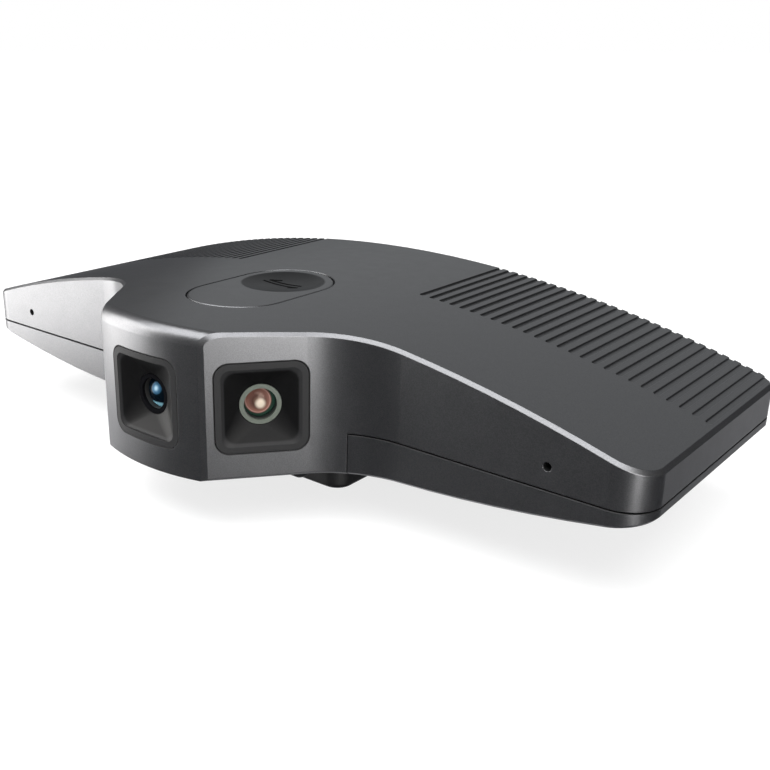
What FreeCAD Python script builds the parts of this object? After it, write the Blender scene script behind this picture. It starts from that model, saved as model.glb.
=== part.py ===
import FreeCAD, Part
import math
import os
import re
import Sketcher
from FreeCAD import Placement, Rotation, Vector

# Panoramic conference webcam: a winged housing with three lenses in its nose,
# standing on its folded monitor clip. Millimetres. Z = 0 is the face it rests on,
# X = 0 is its plane of symmetry, and the lenses look towards -Y.

os.makedirs("parts", exist_ok=True)
doc = FreeCAD.newDocument("panoramic_webcam")

SIZES = {
    # housing, overall
    "body_width": 220.8,
    "body_depth": 107.8,
    "body_height": 36.5,
    "stand_height": 14.8,
    # nose: curved centre face between two ridges, then two flat side facets
    "ridge_half": 17.5,
    "nose_bulge": 2.84,
    "facet_angle": 51.2,
    "wing_setback": 31.1,
    "blend_radius": 25.0,
    "tip_front_radius": 8.0,
    "tip_rear_radius": 5.0,
    # roof and underside arches, seen from the front
    "tip_height": 10.8,
    "floor_flat_half": 35.0,
    "floor_lift": 7.8,
    # edges
    "roof_chamfer": 0.8,
    "nose_fillet": 3.3,
    "floor_chamfer": 0.6,
    "seam_chamfer": 0.1,
    # shells and their parting seam
    "wall": 2.2,
    "roof_wall": 2.6,
    "floor_wall": 2.2,
    "seam_height": 10.35,
    "seam_gap": 0.35,
    "nose_seam_half": 39.8,
    "nose_seam_rear": 2.0,
    "nose_seam_gap": 0.25,
    "lip_wall": 1.2,
    "lip_above": 1.6,
    "lip_below": 3.0,
    "lip_root": 2.0,
    "slip_gap": 0.15,
    # ribbing behind the wings
    "groove_first": 32.6,
    "groove_pitch": 3.02,
    "groove_width": 1.45,
    "groove_depth": 0.55,
    "groove_length": 41.0,
    "groove_margin": 2.0,
    # mode key on top
    "key_radius": 13.4,
    "key_front_y": -20.3,
    "key_rear_y": -3.9,
    "key_gap": 0.35,
    "key_flange": 1.1,
    "key_flange_thick": 0.9,
    "key_drop": 0.6,
    "key_edge": 0.35,
    "dish_radius": 11.5,
    "dish_depth": 1.2,
    "key_pin_radius": 0.8,
    "key_pin_inset": 3.0,
    "key_pin_drop": 1.9,
    "key_lug_half": 5.0,
    "lug_depth": 4.2,
    "lug_below_pin": 1.8,
    "ear_thick": 3.0,
    "ear_gap": 0.3,
    "ear_room": 0.5,
    "ear_below_pin": 2.0,
    "switch_side": 6.0,
    "switch_height": 3.5,
    "switch_floor": 1.0,
    "plunger_radius": 1.6,
    "plunger_gap": 0.3,
    "plunger_reach": 1.2,
    "plunger_seat": 1.4,
    "key_board_depth": 14.0,
    # lens stations
    "hood_size": 21.85,
    "hood_corner": 3.4,
    "hood_rim": 1.5,
    "funnel_soft": 0.3,
    "hood_depth": 6.2,
    "hood_gap": 0.15,
    "hood_rise": 17.6,
    "hood_margin": 2.875,
    "centre_seat": 0.9,
    "proud": 6.0,
    "ring_recess": 2.6,
    "ring_radius": 4.95,
    "ring_bore": 3.9,
    "ring_thick": 0.8,
    "throat_gap": 0.12,
    "dome_radius": 3.8,
    "dome_curve": 4.9,
    "dome_sink": 0.25,
    "dome_edge": 0.9,
    "barrel_radius": 4.6,
    "barrel_bore": 2.4,
    "barrel_length": 7.0,
    "sensor_room": 1.6,
    "sensor_width": 6.4,
    "sensor_height": 5.6,
    "sensor_thick": 0.8,
    "holder_side": 14.0,
    "holder_thick": 5.5,
    "image_board_side": 17.0,
    "board_thick": 1.2,
    # camera bracket behind the image boards
    "bracket_sheet": 1.6,
    "bracket_low": 8.2,
    "bracket_room": 6.4,
    "bracket_leg_x": 6.8,
    "bracket_leg_width": 5.2,
    "bracket_foot": 8.6,
    # main board
    "main_board_half": 45.0,
    "board_front_setback": 5.8,
    "board_rear_gap": 0.5,
    "standoff": 2.0,
    "board_clear": 0.3,
    "chip_y": 12.0,
    "chip_side": 15.0,
    "chip_thick": 1.4,
    "memory_x": 27.0,
    "memory_width": 9.0,
    "memory_length": 12.0,
    "memory_thick": 1.0,
    "pad_thick": 0.8,
    "sink_side": 36.0,
    "sink_base": 2.5,
    "fin_height": 9.0,
    "fin_thick": 1.2,
    # USB-C inlet in the rear wall
    "usb_width": 8.94,
    "usb_thick": 3.2,
    "usb_length": 7.35,
    "usb_wall": 0.35,
    "usb_gap": 0.3,
    "usb_inset": 0.7,
    "usb_back_wall": 1.0,
    "tongue_width": 6.2,
    "tongue_thick": 0.7,
    # microphones behind the wing fronts
    "mic_inset": 21.2,
    "mic_rise": 15.6,
    "mic_hole_radius": 1.0,
    "mic_gasket": 1.5,
    "gasket_width": 8.0,
    "gasket_height": 6.5,
    "mic_board_width": 10.0,
    "mic_board_height": 8.0,
    "mic_ribbon_width": 5.0,
    "ribbon_climb": 8.0,
    "ribbon_lap": 4.0,
    "ribbon_arm_drop": 1.0,
    # camera ribbons and their connectors
    "camera_ribbon_width": 7.0,
    "ribbon_thick": 0.4,
    "ribbon_joint": 1.2,
    "connector_pitch": 13.0,
    "connector_width": 8.0,
    "connector_depth": 4.0,
    "connector_height": 1.4,
    "connector_setback": 4.0,
    # screws
    "screw_radius": 1.2,
    "screw_head_radius": 2.3,
    "screw_head": 1.3,
    "screw_clear": 0.15,
    "small_screw_radius": 0.8,
    "small_head_radius": 1.5,
    "small_head": 0.9,
    "boss_radius": 3.2,
    "boss_slim": 2.6,
    "thread_gap": 0.05,
    "grip": 5.5,
    "head_sink": 0.3,
    "flat_head_radius": 2.0,
    "flat_head": 1.1,
    "inner_screw_past": 3.0,
    "front_screw_inset": 14.8,
    "rear_screw_inset": 10.0,
    "tip_screw_inset": 11.0,
    "board_screw_side": 7.0,
    "board_screw_front": 9.0,
    "board_screw_rear": 6.2,
    "bracket_screw_inset": 3.4,
    "key_boss_gap": 0.9,
    # folded clip under the housing
    "clip_half": 26.5,
    "clip_front_y": -11.7,
    "clip_corner": 5.0,
    "platform_top_gap": 0.6,
    "platform_thick": 2.9,
    "platform_rear": 24.4,
    "platform_pad": 0.8,
    "platform_pad_length": 27.0,
    "tilt_axis_y": -17.5,
    "tilt_axis_z": 9.6,
    "tilt_lug_radius": 4.7,
    "tilt_lug_half": 19.9,
    "tilt_lug_thick": 4.0,
    "tilt_lug_edge": 1.2,
    "tilt_flange": 6.2,
    "tilt_flange_thick": 1.4,
    "tilt_flange_length": 12.4,
    "tilt_screw_pitch": 6.8,
    "tilt_screw_shift": 1.1,
    "neck_run": 3.0,
    "hinge_gap": 0.6,
    "washer_thick": 0.4,
    "washer_inset": 0.8,
    "hinge_pin_radius": 1.5,
    "pin_inset": 0.4,
    "pin_fit": 0.03,
    "bore_fit": 0.06,
    "leg_axis_y": 30.0,
    "leg_axis_z": 8.2,
    "leg_lug_radius": 5.2,
    "leg_lug_half": 19.7,
    "leg_bottom": 0.4,
    "leg_top": 7.6,
    "leg_relief": 6.2,
    "neck_step": 0.1,
    "leg_edge": 1.6,
    "foot_pad_thick": 1.2,
    "foot_pad_margin": 4.5,
    "foot_pad_corner": 3.0,
    "foot_rear_gap": 3.0,
    "leg_pad_thick": 1.0,
    "leg_pad_length": 10.0,
    "insert_y": 8.0,
    "insert_radius": 4.6,
    "insert_bore": 2.55,
    "insert_length": 5.4,
    "insert_mouth": 0.9,
    "insert_rise": 0.2,
    # how far a cutting shape runs past a face, and how far joined shapes share material
    "past": 1.0,
    "bite": 0.5,
}

# Sizes that follow from the ones above, as formulas in the same sheet.
DERIVED = {
    "floor_z": "stand_height",
    "roof_z": "stand_height + body_height",
    "seam_z": "stand_height + seam_height",
    "tip_x": "body_width / 2",
    "rear_y": "body_depth / 2",
    "apex_y": "-body_depth / 2",
    "ridge_y": "apex_y + nose_bulge",
    "wing_y": "apex_y + wing_setback",
    "nose_radius": "(ridge_half ^ 2 + nose_bulge ^ 2) / (2 * nose_bulge)",
    "roof_fall": "body_height - floor_lift - tip_height",
    "roof_radius": "(tip_x ^ 2 + roof_fall ^ 2) / (2 * roof_fall)",
    "floor_radius": "((tip_x - floor_flat_half) ^ 2 + floor_lift ^ 2) / (2 * floor_lift)",
    "facet_dx": "cos(facet_angle)",
    "facet_dy": "sin(facet_angle)",
    "facet_corner_x": "ridge_half + (wing_y - ridge_y) * facet_dx / facet_dy",
    "blend_run": "blend_radius * tan(facet_angle / 2)",
    "inner_screw_x": "facet_corner_x + blend_run + inner_screw_past",
    "hood_z": "stand_height + hood_rise",
    "hood_half": "hood_size / 2",
    "funnel_half": "hood_half - hood_rim",
    "funnel_corner": "hood_corner - hood_rim + funnel_soft",
    "throat_radius": "ring_radius + throat_gap",
    "centre_ref_y": "apex_y + centre_seat",
    "facet_along": "hood_margin + hood_half",
    "facet_ref_x": "ridge_half + facet_along * facet_dx",
    "facet_ref_y": "ridge_y + facet_along * facet_dy",
    "dome_crown": "dome_curve - sqrt(dome_curve ^ 2 - dome_radius ^ 2)",
    "barrel_seat": "ring_recess + ring_thick",
    "board_seat": "barrel_seat + barrel_length + sensor_room",
    "bracket_seat": "board_seat + board_thick",
    "bracket_z": "stand_height + bracket_low",
    "bracket_top": "roof_z - roof_wall - bracket_room",
    "main_board_z": "stand_height + floor_wall + standoff",
    "board_top": "main_board_z + board_thick",
    "main_board_front": "wing_y + board_front_setback",
    "main_board_rear": "rear_y - wall - board_rear_gap",
    "sink_z": "board_top + chip_thick + pad_thick",
    "usb_z": "board_top + usb_thick / 2",
    "usb_front": "rear_y - usb_inset - usb_length",
    "key_under_z": "roof_z - roof_wall - key_drop - key_flange_thick",
    "key_pin_y": "key_front_y - key_radius + key_pin_inset",
    "key_pin_z": "key_under_z - key_pin_drop",
    "key_board_top": "key_under_z - plunger_reach - switch_height",
    "key_board_z": "key_board_top - board_thick",
    "key_boss_x": "key_radius + key_flange + key_boss_gap + boss_slim",
    "ear_x": "key_lug_half + ear_gap + ear_thick / 2",
    "dish_curve": "(dish_radius ^ 2 + dish_depth ^ 2) / (2 * dish_depth)",
    "mic_x": "tip_x - mic_inset",
    "mic_z": "stand_height + mic_rise",
    "mic_back": "wing_y + wall + mic_gasket + board_thick",
    "ribbon_z": "board_top + connector_height",
    "platform_z": "stand_height - platform_top_gap - platform_thick",
    "platform_top": "platform_z + platform_thick",
    "barrel_half": "tilt_lug_half - tilt_lug_thick - hinge_gap",
    "leg_barrel_half": "leg_lug_half - hinge_gap",
    "tilt_screw_x": "tilt_lug_half + tilt_flange / 2",
    "tilt_screw_y": "tilt_axis_y - tilt_screw_shift",
    "tilt_boss_z": "main_board_z - board_clear",
    "insert_z": "leg_bottom + insert_rise",
    "pad_half": "clip_half - foot_pad_margin",
    "foot_front": "clip_front_y + foot_pad_margin",
    "leg_rear": "leg_axis_y - leg_relief",
    "foot_rear": "leg_rear - foot_rear_gap",
}

sheet = doc.addObject("Spreadsheet::Sheet", "sizes")
ALIASES = list(SIZES) + list(DERIVED)
for row, alias in enumerate(ALIASES, start=1):
    sheet.set(f"A{row}", alias)
    if alias in SIZES:
        sheet.set(f"B{row}", str(SIZES[alias]))
    else:
        sheet.set(f"B{row}", "=" + DERIVED[alias])
    sheet.setAlias(f"B{row}", alias)
doc.recompute()


def full(formula):
    """Write the sheet's name before each alias of a formula."""
    return re.sub(r"[a-z_]+", lambda m: "sizes." + m[0] if m[0] in ALIASES else m[0], str(formula))


def val(formula):
    """The number that a formula on the sheet comes to."""
    return float(sheet.evalExpression(full(formula)))


def bind(thing, prop, formula):
    """Set a property from a formula, and keep it bound when the formula names a size."""
    if isinstance(formula, str):
        thing.setExpression(prop, full(formula))
    else:
        setattr(thing, prop, formula)


def place(thing, at, turn=Rotation()):
    """Put an object at a point given by three formulas, with a turn."""
    thing.Placement = Placement(Vector(*[val(one) for one in at]), turn)
    for letter, formula in zip("xyz", at):
        if isinstance(formula, str):
            thing.setExpression("Placement.Base." + letter, full(formula))
    return thing


def block(name, size, at):
    """A box of the given size, centred on at in X and Y and standing on it in Z."""
    thing = doc.addObject("Part::Box", name)
    for prop, formula in zip(("Length", "Width", "Height"), size):
        bind(thing, prop, formula)
    x, y, z = at
    return place(thing, (f"({x}) - ({size[0]}) / 2", f"({y}) - ({size[1]}) / 2", f"({z}) + 0"))


def rod(name, radius, length, at, axis="z"):
    """A cylinder that starts at a point and runs along +X, +Y or +Z."""
    thing = doc.addObject("Part::Cylinder", name)
    bind(thing, "Radius", radius)
    bind(thing, "Height", length)
    turns = {"z": Rotation(), "x": Rotation(Vector(0, 1, 0), 90), "y": Rotation(Vector(1, 0, 0), -90)}
    return place(thing, at, turns[axis])


def cut(name, base, tool):
    thing = doc.addObject("Part::Cut", name)
    thing.Base = base
    thing.Tool = tool
    return thing


def fuse(name, pieces):
    thing = doc.addObject("Part::MultiFuse", name)
    thing.Shapes = pieces
    thing.Refine = True
    return thing


def common(name, pieces):
    thing = doc.addObject("Part::MultiCommon", name)
    thing.Shapes = pieces
    return thing


def group(name, pieces):
    """Separate like solids, such as screws, that share one node."""
    thing = doc.addObject("Part::Compound", name)
    thing.Links = pieces
    return thing


def drawn_body(name, plane, corners, length, offset=0, both_ways=False, flip=False):
    """A padded outline. Each corner is (across, up) or (across, up, radius, turn): a radius
    makes the side to the next corner an arc, which turns left (1) or right (-1)."""
    body = doc.addObject("PartDesign::Body", name)
    sketch = body.newObject("Sketcher::SketchObject", name + "_outline")
    planes = {feature.Role: feature for feature in body.Origin.OriginFeatures}
    sketch.AttachmentSupport = (planes[plane + "_Plane"], "")
    sketch.MapMode = "FlatFace"
    bind(sketch, "AttachmentOffset.Base.z", str(offset) + " + 0")
    points = [Vector(val(one[0]), val(one[1]), 0) for one in corners]
    sides = []
    for index, corner in enumerate(corners):
        start = points[index]
        end = points[(index + 1) % len(points)]
        if len(corner) == 2:
            side = sketch.addGeometry(Part.LineSegment(start, end), False)
            sides.append((side, 1, 2))
            continue
        radius, turn = val(corner[2]), corner[3]
        chord = end - start
        left = Vector(-chord.y, chord.x, 0).normalize()
        reach = max(radius ** 2 - chord.Length ** 2 / 4, 0) ** 0.5
        centre = start + chord * 0.5 + left * (reach * turn)
        near, far = (start, end) if turn == 1 else (end, start)
        sweep = [math.atan2(spot.y - centre.y, spot.x - centre.x) for spot in (near, far)]
        if sweep[1] <= sweep[0]:
            sweep[1] += 2 * math.pi
        circle = Part.Circle(centre, Vector(0, 0, 1), radius)
        side = sketch.addGeometry(Part.ArcOfCircle(circle, *sweep), False)
        sides.append((side, 1, 2) if turn == 1 else (side, 2, 1))
        if reach < 1e-4:
            sketch.addConstraint(Sketcher.Constraint("Symmetric", side, 1, side, 2, side, 3))
            continue
        limit = sketch.addConstraint(Sketcher.Constraint("Radius", side, radius))
        sketch.renameConstraint(limit, f"radius_{index}")
        sketch.setExpression(f"Constraints.radius_{index}", full(corner[2]))
    for index, corner in enumerate(corners):
        side, start_end, far_end = sides[index]
        following, next_end, _ = sides[(index + 1) % len(sides)]
        sketch.addConstraint(Sketcher.Constraint("Coincident", side, far_end, following, next_end))
        for kind, letter, formula, number in (("DistanceX", "x", corner[0], points[index].x),
                                              ("DistanceY", "y", corner[1], points[index].y)):
            limit = sketch.addConstraint(Sketcher.Constraint(kind, -1, 1, side, start_end, number))
            sketch.renameConstraint(limit, f"{letter}_{index}")
            if isinstance(formula, str):
                sketch.setExpression(f"Constraints.{letter}_{index}", full(formula))
    pad = body.newObject("PartDesign::Pad", name + "_pad")
    pad.Profile = sketch
    bind(pad, "Length", str(length) + " + 0")
    pad.Midplane = both_ways
    pad.Reversed = flip
    return body


def rounded_square(half, radius):
    """Corners of a square about the origin, with rounded corners."""
    flat = f"({half}) - ({radius})"
    return [(flat, f"-({half})", radius, 1), (f"{half}", f"-({flat})"),
            (f"{half}", flat, radius, 1), (flat, f"{half}"),
            (f"-({flat})", f"{half}", radius, 1), (f"-({half})", flat),
            (f"-({half})", f"-({flat})", radius, 1), (f"-({flat})", f"-({half})")]


def obround(front, rear, radius):
    """Corners of a slot along Y between two circle centres on X = 0."""
    return [(radius, front), (radius, rear, radius, 1), (f"-({radius})", rear),
            (f"-({radius})", front, radius, 1)]


def edges_where(shape, test):
    """Numbers of the edges whose middle and ends pass a test."""
    chosen = []
    for number, edge in enumerate(shape.Edges, start=1):
        low, high = edge.ParameterRange
        spots = [edge.valueAt(low + (high - low) * share) for share in (0.02, 0.5, 0.98)]
        if all(test(spot) for spot in spots):
            chosen.append(number)
    return chosen


def dressed(kind, name, base, size, test):
    """Chamfer or fillet the edges of an object that pass a test."""
    doc.recompute()
    thing = doc.addObject("Part::" + kind, name)
    thing.Base = base
    thing.Edges = [(number, size, size) for number in edges_where(base.Shape, test)]
    doc.recompute()
    return thing


def mirrored(spots):
    """Each spot at +X and at -X."""
    return [(f"{sign} * ({x})", y) for x, y in spots for sign in (1, -1)]


def housing_outline(inset):
    """Plan outline of the housing, moved inwards by a formula of the sheet."""
    side = f"({inset})"
    shift_x = f"- {side} * facet_dy"
    shift_y = f"+ {side} * facet_dx"
    nose = (f"ridge_half - {side} * tan(facet_angle / 2)", f"ridge_y + {side}")
    facet = (f"facet_corner_x - blend_run * facet_dx {shift_x}",
             f"wing_y - blend_run * facet_dy {shift_y}")
    wing = ("facet_corner_x + blend_run", f"wing_y + {side}")
    tip = f"tip_x - {side}"
    front = f"tip_front_radius - {side}"
    rear = f"tip_rear_radius - {side}"
    right = [nose,
             (*facet, f"blend_radius + {side}", -1),
             wing,
             ("tip_x - tip_front_radius", f"wing_y + {side}", front, 1),
             (tip, "wing_y + tip_front_radius"),
             (tip, "rear_y - tip_rear_radius", rear, 1),
             ("tip_x - tip_rear_radius", f"rear_y - {side}")]
    left = [("-(tip_x - tip_rear_radius)", f"rear_y - {side}", rear, 1),
            (f"-({tip})", "rear_y - tip_rear_radius"),
            (f"-({tip})", "wing_y + tip_front_radius", front, 1),
            ("-(tip_x - tip_front_radius)", f"wing_y + {side}"),
            (f"-({wing[0]})", wing[1], f"blend_radius + {side}", -1),
            (f"-({facet[0]})", facet[1])]
    if inset == "0":
        return right + left + [(f"-({nose[0]})", nose[1], "nose_radius", 1)]
    return right + left + [(f"-({nose[0]})", nose[1])]


def arch_drop(radius, x):
    """How far an arch has fallen, or risen, at a distance x from where it is level."""
    return f"({radius} - sqrt(({radius}) ^ 2 - ({x}) ^ 2))"


def arch_slab(name, roof_inset, floor_rise):
    """Everything between the underside arch and the roof arch, seen from the front."""
    reach = "(tip_x + 5)"
    top_radius = f"roof_radius - ({roof_inset})"
    low = f"floor_z + ({floor_rise})"
    low_radius = f"floor_radius - ({floor_rise})"
    top_end = f"roof_z - ({roof_inset}) - {arch_drop(top_radius, reach)}"
    low_end = f"{low} + {arch_drop(low_radius, reach + ' - floor_flat_half')}"
    corners = [("floor_flat_half", low, low_radius, 1), (reach, low_end),
               (reach, top_end, top_radius, 1), (f"-{reach}", top_end),
               (f"-{reach}", low_end, low_radius, 1), ("-floor_flat_half", low)]
    return drawn_body(name, "XZ", corners, "2 * body_depth", both_ways=True)


# Housing form: plan outline and front arches together, then its dressed edges.
plan = drawn_body("housing_plan", "XY", housing_outline("0"), "roof_z + past")
arches = arch_slab("housing_arches", "0", "0")
form = common("housing_form", [plan, arches])
doc.recompute()
PLAN_WIRE = Part.Wire(Part.__sortEdges__([edge for edge in plan.Shape.Edges if edge.BoundBox.ZMax < 1e-6]))
RIDGE_HALF, RIDGE_Y, WING_Y = val("ridge_half"), val("ridge_y"), val("wing_y")
ROOF_Z, FLOOR_Z, SEAM_Z = val("roof_z"), val("floor_z"), val("seam_z")
ROOF_RADIUS, FLOOR_RADIUS, FLOOR_FLAT = val("roof_radius"), val("floor_radius"), val("floor_flat_half")
NEAR = 0.03


def on_outline(spot):
    return PLAN_WIRE.distToShape(Part.Vertex(spot.x, spot.y, 0))[0] < NEAR


def middle_height(x):
    """Height midway between the underside arch and the roof arch at a distance x."""
    roof = ROOF_Z - ROOF_RADIUS + math.sqrt(ROOF_RADIUS ** 2 - x ** 2)
    beyond = max(abs(x) - FLOOR_FLAT, 0)
    floor = FLOOR_Z + FLOOR_RADIUS - math.sqrt(FLOOR_RADIUS ** 2 - beyond ** 2)
    return (roof + floor) / 2


def on_centre_top(spot):
    """The top edge of the nose's curved centre face."""
    return spot.y < RIDGE_Y + NEAR and spot.z > middle_height(spot.x) and abs(spot.x) < RIDGE_HALF + NEAR


def on_roof_rim(spot):
    """The roof's outer edge, all round but for the centre face of the nose."""
    centre = spot.y < RIDGE_Y + NEAR and abs(spot.x) < RIDGE_HALF + NEAR
    return on_outline(spot) and spot.z > middle_height(spot.x) + 3 and not centre


def on_floor_rim(spot):
    """The underside's outer edge, behind the nose."""
    return on_outline(spot) and spot.z < middle_height(spot.x) - 3 and spot.y > WING_Y - 0.5


rounded_nose = dressed("Fillet", "housing_nose", form, val("nose_fillet"), on_centre_top)
rimmed = dressed("Chamfer", "housing_rimmed", rounded_nose, val("roof_chamfer"), on_roof_rim)
outer = dressed("Chamfer", "housing_outer", rimmed, val("floor_chamfer"), on_floor_rim)

# Inside of the housing: one form without a floor for the top shell, one above the floor
# plate for the bottom shell. Both follow the walls.
inner_plan = drawn_body("inner_plan", "XY", housing_outline("wall"), "roof_z + past")
NO_FLOOR = "-(stand_height + 5 * past)"
roof_inside = arch_slab("roof_inside", "roof_wall", NO_FLOOR)
floor_inside = arch_slab("floor_inside", "roof_wall", "floor_wall")
open_hollow = common("open_hollow", [inner_plan, roof_inside])
tray_hollow = common("tray_hollow", [inner_plan, floor_inside])

# The lower band: all of the housing below the seam except the nose's own walls, which
# run down to the bottom edge.
wide = ("body_width + 20", "body_depth + 20")


def nose_zone(name, gap):
    """The nose in front of the wings, from below the housing to above the seam."""
    return block(name, (f"2 * (nose_seam_half + {gap})", "body_depth", "seam_z + 5"),
                 (0, f"wing_y + nose_seam_rear - body_depth / 2 + {gap}", "-past"))


above_seam = cut("above_seam", block("band_top", (*wide, "seam_z + seam_gap / 2"), (0, 0, "0")),
                 nose_zone("nose_keep", "0"))

# Ribbing: shallow slots along Y, open at the rear edge, that follow the roof arch. The
# last one stays clear of the wing's tip.
GROOVE_COUNT = int(val("(tip_x - groove_margin - groove_first) / groove_pitch")) + 1


def groove_row(name, side):
    """One wing's row of slots, as a pattern of the innermost one."""
    left = f"{side} * groove_first - groove_width / 2"
    right = f"{side} * groove_first + groove_width / 2"
    near = "rear_y - groove_length + groove_width / 2"
    corners = [(left, near, "groove_width / 2", 1), (right, near),
               (right, "rear_y + 2 * past"), (left, "rear_y + 2 * past")]
    body = drawn_body(name, "XY", corners, "roof_z + past")
    body.AllowCompound = True
    first = body.Tip
    doc.recompute()
    row = body.newObject("PartDesign::LinearPattern", name + "_pattern")
    row.Originals = [first]
    row.Direction = (doc.getObject(name + "_outline"), ["H_Axis"])
    row.Reversed = side < 0
    bind(row, "Length", f"groove_pitch * {GROOVE_COUNT - 1}")
    row.Occurrences = GROOVE_COUNT
    body.Tip = row
    return body


slot_rows = [groove_row("grooves_right", 1), groove_row("grooves_left", -1)]
above_floor = arch_slab("above_groove_floor", "groove_depth", NO_FLOOR)
groove_tool = cut("groove_tool", fuse("groove_rows", slot_rows), above_floor)

# Lens stations: the place of each seat's centre and its turn about Z. Each looks along its
# own -Y. The centre one lies behind the curved face, the side ones in the two facets.
STATIONS = {
    "centre": (("0", "centre_ref_y", "hood_z"), "0"),
    "right": (("facet_ref_x", "facet_ref_y", "hood_z"), "facet_angle"),
    "left": (("-facet_ref_x", "facet_ref_y", "hood_z"), "-facet_angle"),
}


def station_spot(station, across, depth):
    """Plan position at a distance across a station's face and a depth behind its seat."""
    (x, y, _), turn = STATIONS[station]
    return (f"{x} - ({depth}) * sin({turn}) + ({across}) * cos({turn})",
            f"{y} + ({depth}) * cos({turn}) + ({across}) * sin({turn})")


def at_station(thing, station, depth="0", across="0", low="0", spin=0):
    """Put an object at a station, behind its seat, and turn it to face the station's way."""
    x, y = station_spot(station, across, depth)
    turn = Rotation(Vector(0, 0, 1), val(STATIONS[station][1]))
    return place(thing, (x, y, f"hood_z - ({low})"), turn.multiply(Rotation(Vector(1, 0, 0), spin)))


def square_prism(name, station, half, corner, depth):
    """A rounded square prism along a station's axis, from well in front of its seat."""
    body = drawn_body(name, "XZ", rounded_square(half, corner), f"{depth} + proud", offset="proud", flip=True)
    return at_station(body, station)


def axial(name, station, radius, length, depth):
    """A cylinder on a station's axis that starts at a depth behind its seat."""
    thing = doc.addObject("Part::Cylinder", name)
    bind(thing, "Radius", radius)
    bind(thing, "Height", length)
    return at_station(thing, station, depth, spin=-90)


def station_block(name, station, size, depth, low="0"):
    """A box square to a station's axis: width, thickness along the axis and height."""
    thing = doc.addObject("Part::Box", name)
    for prop, formula in zip(("Length", "Width", "Height"), size):
        bind(thing, prop, formula)
    return at_station(thing, station, depth, f"-({size[0]}) / 2", f"({size[2]}) / 2 + {low}")


# Fasteners: plan positions of the screws and the bosses that they go into.
HOUSING_SCREWS = mirrored([("inner_screw_x", "wing_y + front_screw_inset"),
                           ("inner_screw_x", "rear_y - rear_screw_inset"),
                           ("tip_x - tip_screw_inset", "(wing_y + rear_y) / 2")])
BOARD_SCREWS = mirrored([("main_board_half - board_screw_side", "main_board_front + board_screw_front"),
                         ("main_board_half - board_screw_side", "main_board_rear - board_screw_rear")])
KEY_BOARD_SCREWS = mirrored([("key_boss_x", "key_rear_y")])
BRACKET_SCREWS = mirrored([("bracket_leg_x",
                            "centre_ref_y + bracket_seat + bracket_foot - bracket_screw_inset")])
TILT_SCREWS = mirrored([("tilt_screw_x", "tilt_screw_y - tilt_screw_pitch / 2"),
                        ("tilt_screw_x", "tilt_screw_y + tilt_screw_pitch / 2")])
FOOT_Z = "floor_z + floor_wall"


def floor_lift_at(x):
    """How far the underside arch has risen at a distance x, as a formula."""
    return arch_drop("floor_radius", f"max(abs({x}) - floor_flat_half; 0)")


def screw(name, at, radius, length, head_radius, head_height, up=True):
    """A pan-head screw whose head's underside is at a point. It points up or down."""
    x, y, z = at
    drive_depth = f"({head_height}) * 0.6"
    if up:
        shank_z, head_z = z, f"({z}) - ({head_height})"
        drive_z = f"({head_z}) - past + {drive_depth}"
    else:
        shank_z, head_z = f"({z}) - ({length})", z
        drive_z = f"({z}) + ({head_height}) - {drive_depth}"
    solid = fuse(name + "_solid", [rod(name + "_shank", radius, f"({length}) + 0", (x, y, shank_z)),
                                   rod(name + "_head", head_radius, f"({head_height}) + 0", (x, y, head_z))])
    return cut(name, solid, rod(name + "_drive", f"({head_radius}) * 0.45", "past", (x, y, drive_z)))


def screw_set(name, spots, height, radius, length, head_radius, head_height, up=True):
    """Like screws at several plan positions. The height may depend on the position."""
    return group(name, [
        screw(f"{name}_{number}", (x, y, height(x)), radius, length, head_radius, head_height, up)
        for number, (x, y) in enumerate(spots)])


# Top shell: roof, walls above the seam and the nose's walls down to the bottom edge, with
# bosses under the roof and ears for the key's pin.
top_blank = cut("top_blank", outer, open_hollow)
banded = cut("top_above_band", top_blank, above_seam)
grooved = cut("top_grooved", banded, groove_tool)
hood_holes = [square_prism(f"hood_hole_{station}", station, "hood_half + hood_gap", "hood_corner + hood_gap",
                           "hood_depth + past") for station in STATIONS]
key_hole = drawn_body("key_hole", "XY", obround("key_front_y", "key_rear_y", "key_radius + key_gap"),
                      "roof_wall + 2 * past", offset="roof_z - roof_wall - past")
mic_holes = [rod(f"mic_hole_{side}", "mic_hole_radius", "wall + 2 * past",
                 (f"{sign} * mic_x", "wing_y - past", "mic_z"), "y")
             for side, sign in (("right", 1), ("left", -1))]
columns = []
bores = []
for number, (x, y) in enumerate(HOUSING_SCREWS):
    low = f"{FOOT_Z} + {floor_lift_at(x)} + boss_radius * 0.2"
    columns.append(rod(f"roof_boss_{number}", "boss_radius", f"roof_z - ({low})", (x, y, low)))
    bores.append(rod(f"roof_boss_bore_{number}", "screw_radius + thread_gap", "grip + 3 * past",
                     (x, y, f"{low} - past")))
for number, (x, y) in enumerate(KEY_BOARD_SCREWS):
    columns.append(rod(f"key_boss_{number}", "boss_slim", "roof_z - key_board_top", (x, y, "key_board_top")))
    bores.append(rod(f"key_boss_bore_{number}", "small_screw_radius + thread_gap", "grip",
                     (x, y, "key_board_top - bite")))
for number, (x, y) in enumerate(mirrored([("ear_x", "key_pin_y")])):
    columns.append(block(f"key_ear_{number}",
                         ("ear_thick", "lug_depth", "roof_z - key_pin_z + ear_below_pin"),
                         (x, y, "key_pin_z - ear_below_pin")))
pin_reach = "(key_lug_half + ear_gap + ear_thick)"
key_pin_bore = rod("key_pin_bore", "key_pin_radius + pin_fit", f"2 * ({pin_reach} + past)",
                   (f"-({pin_reach} + past)", "key_pin_y", "key_pin_z"), "x")
under_roof = common("under_roof", [fuse("roof_columns", columns), open_hollow])
top_tools = fuse("top_tools", hood_holes + [key_hole, key_pin_bore] + mic_holes + bores)
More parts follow.
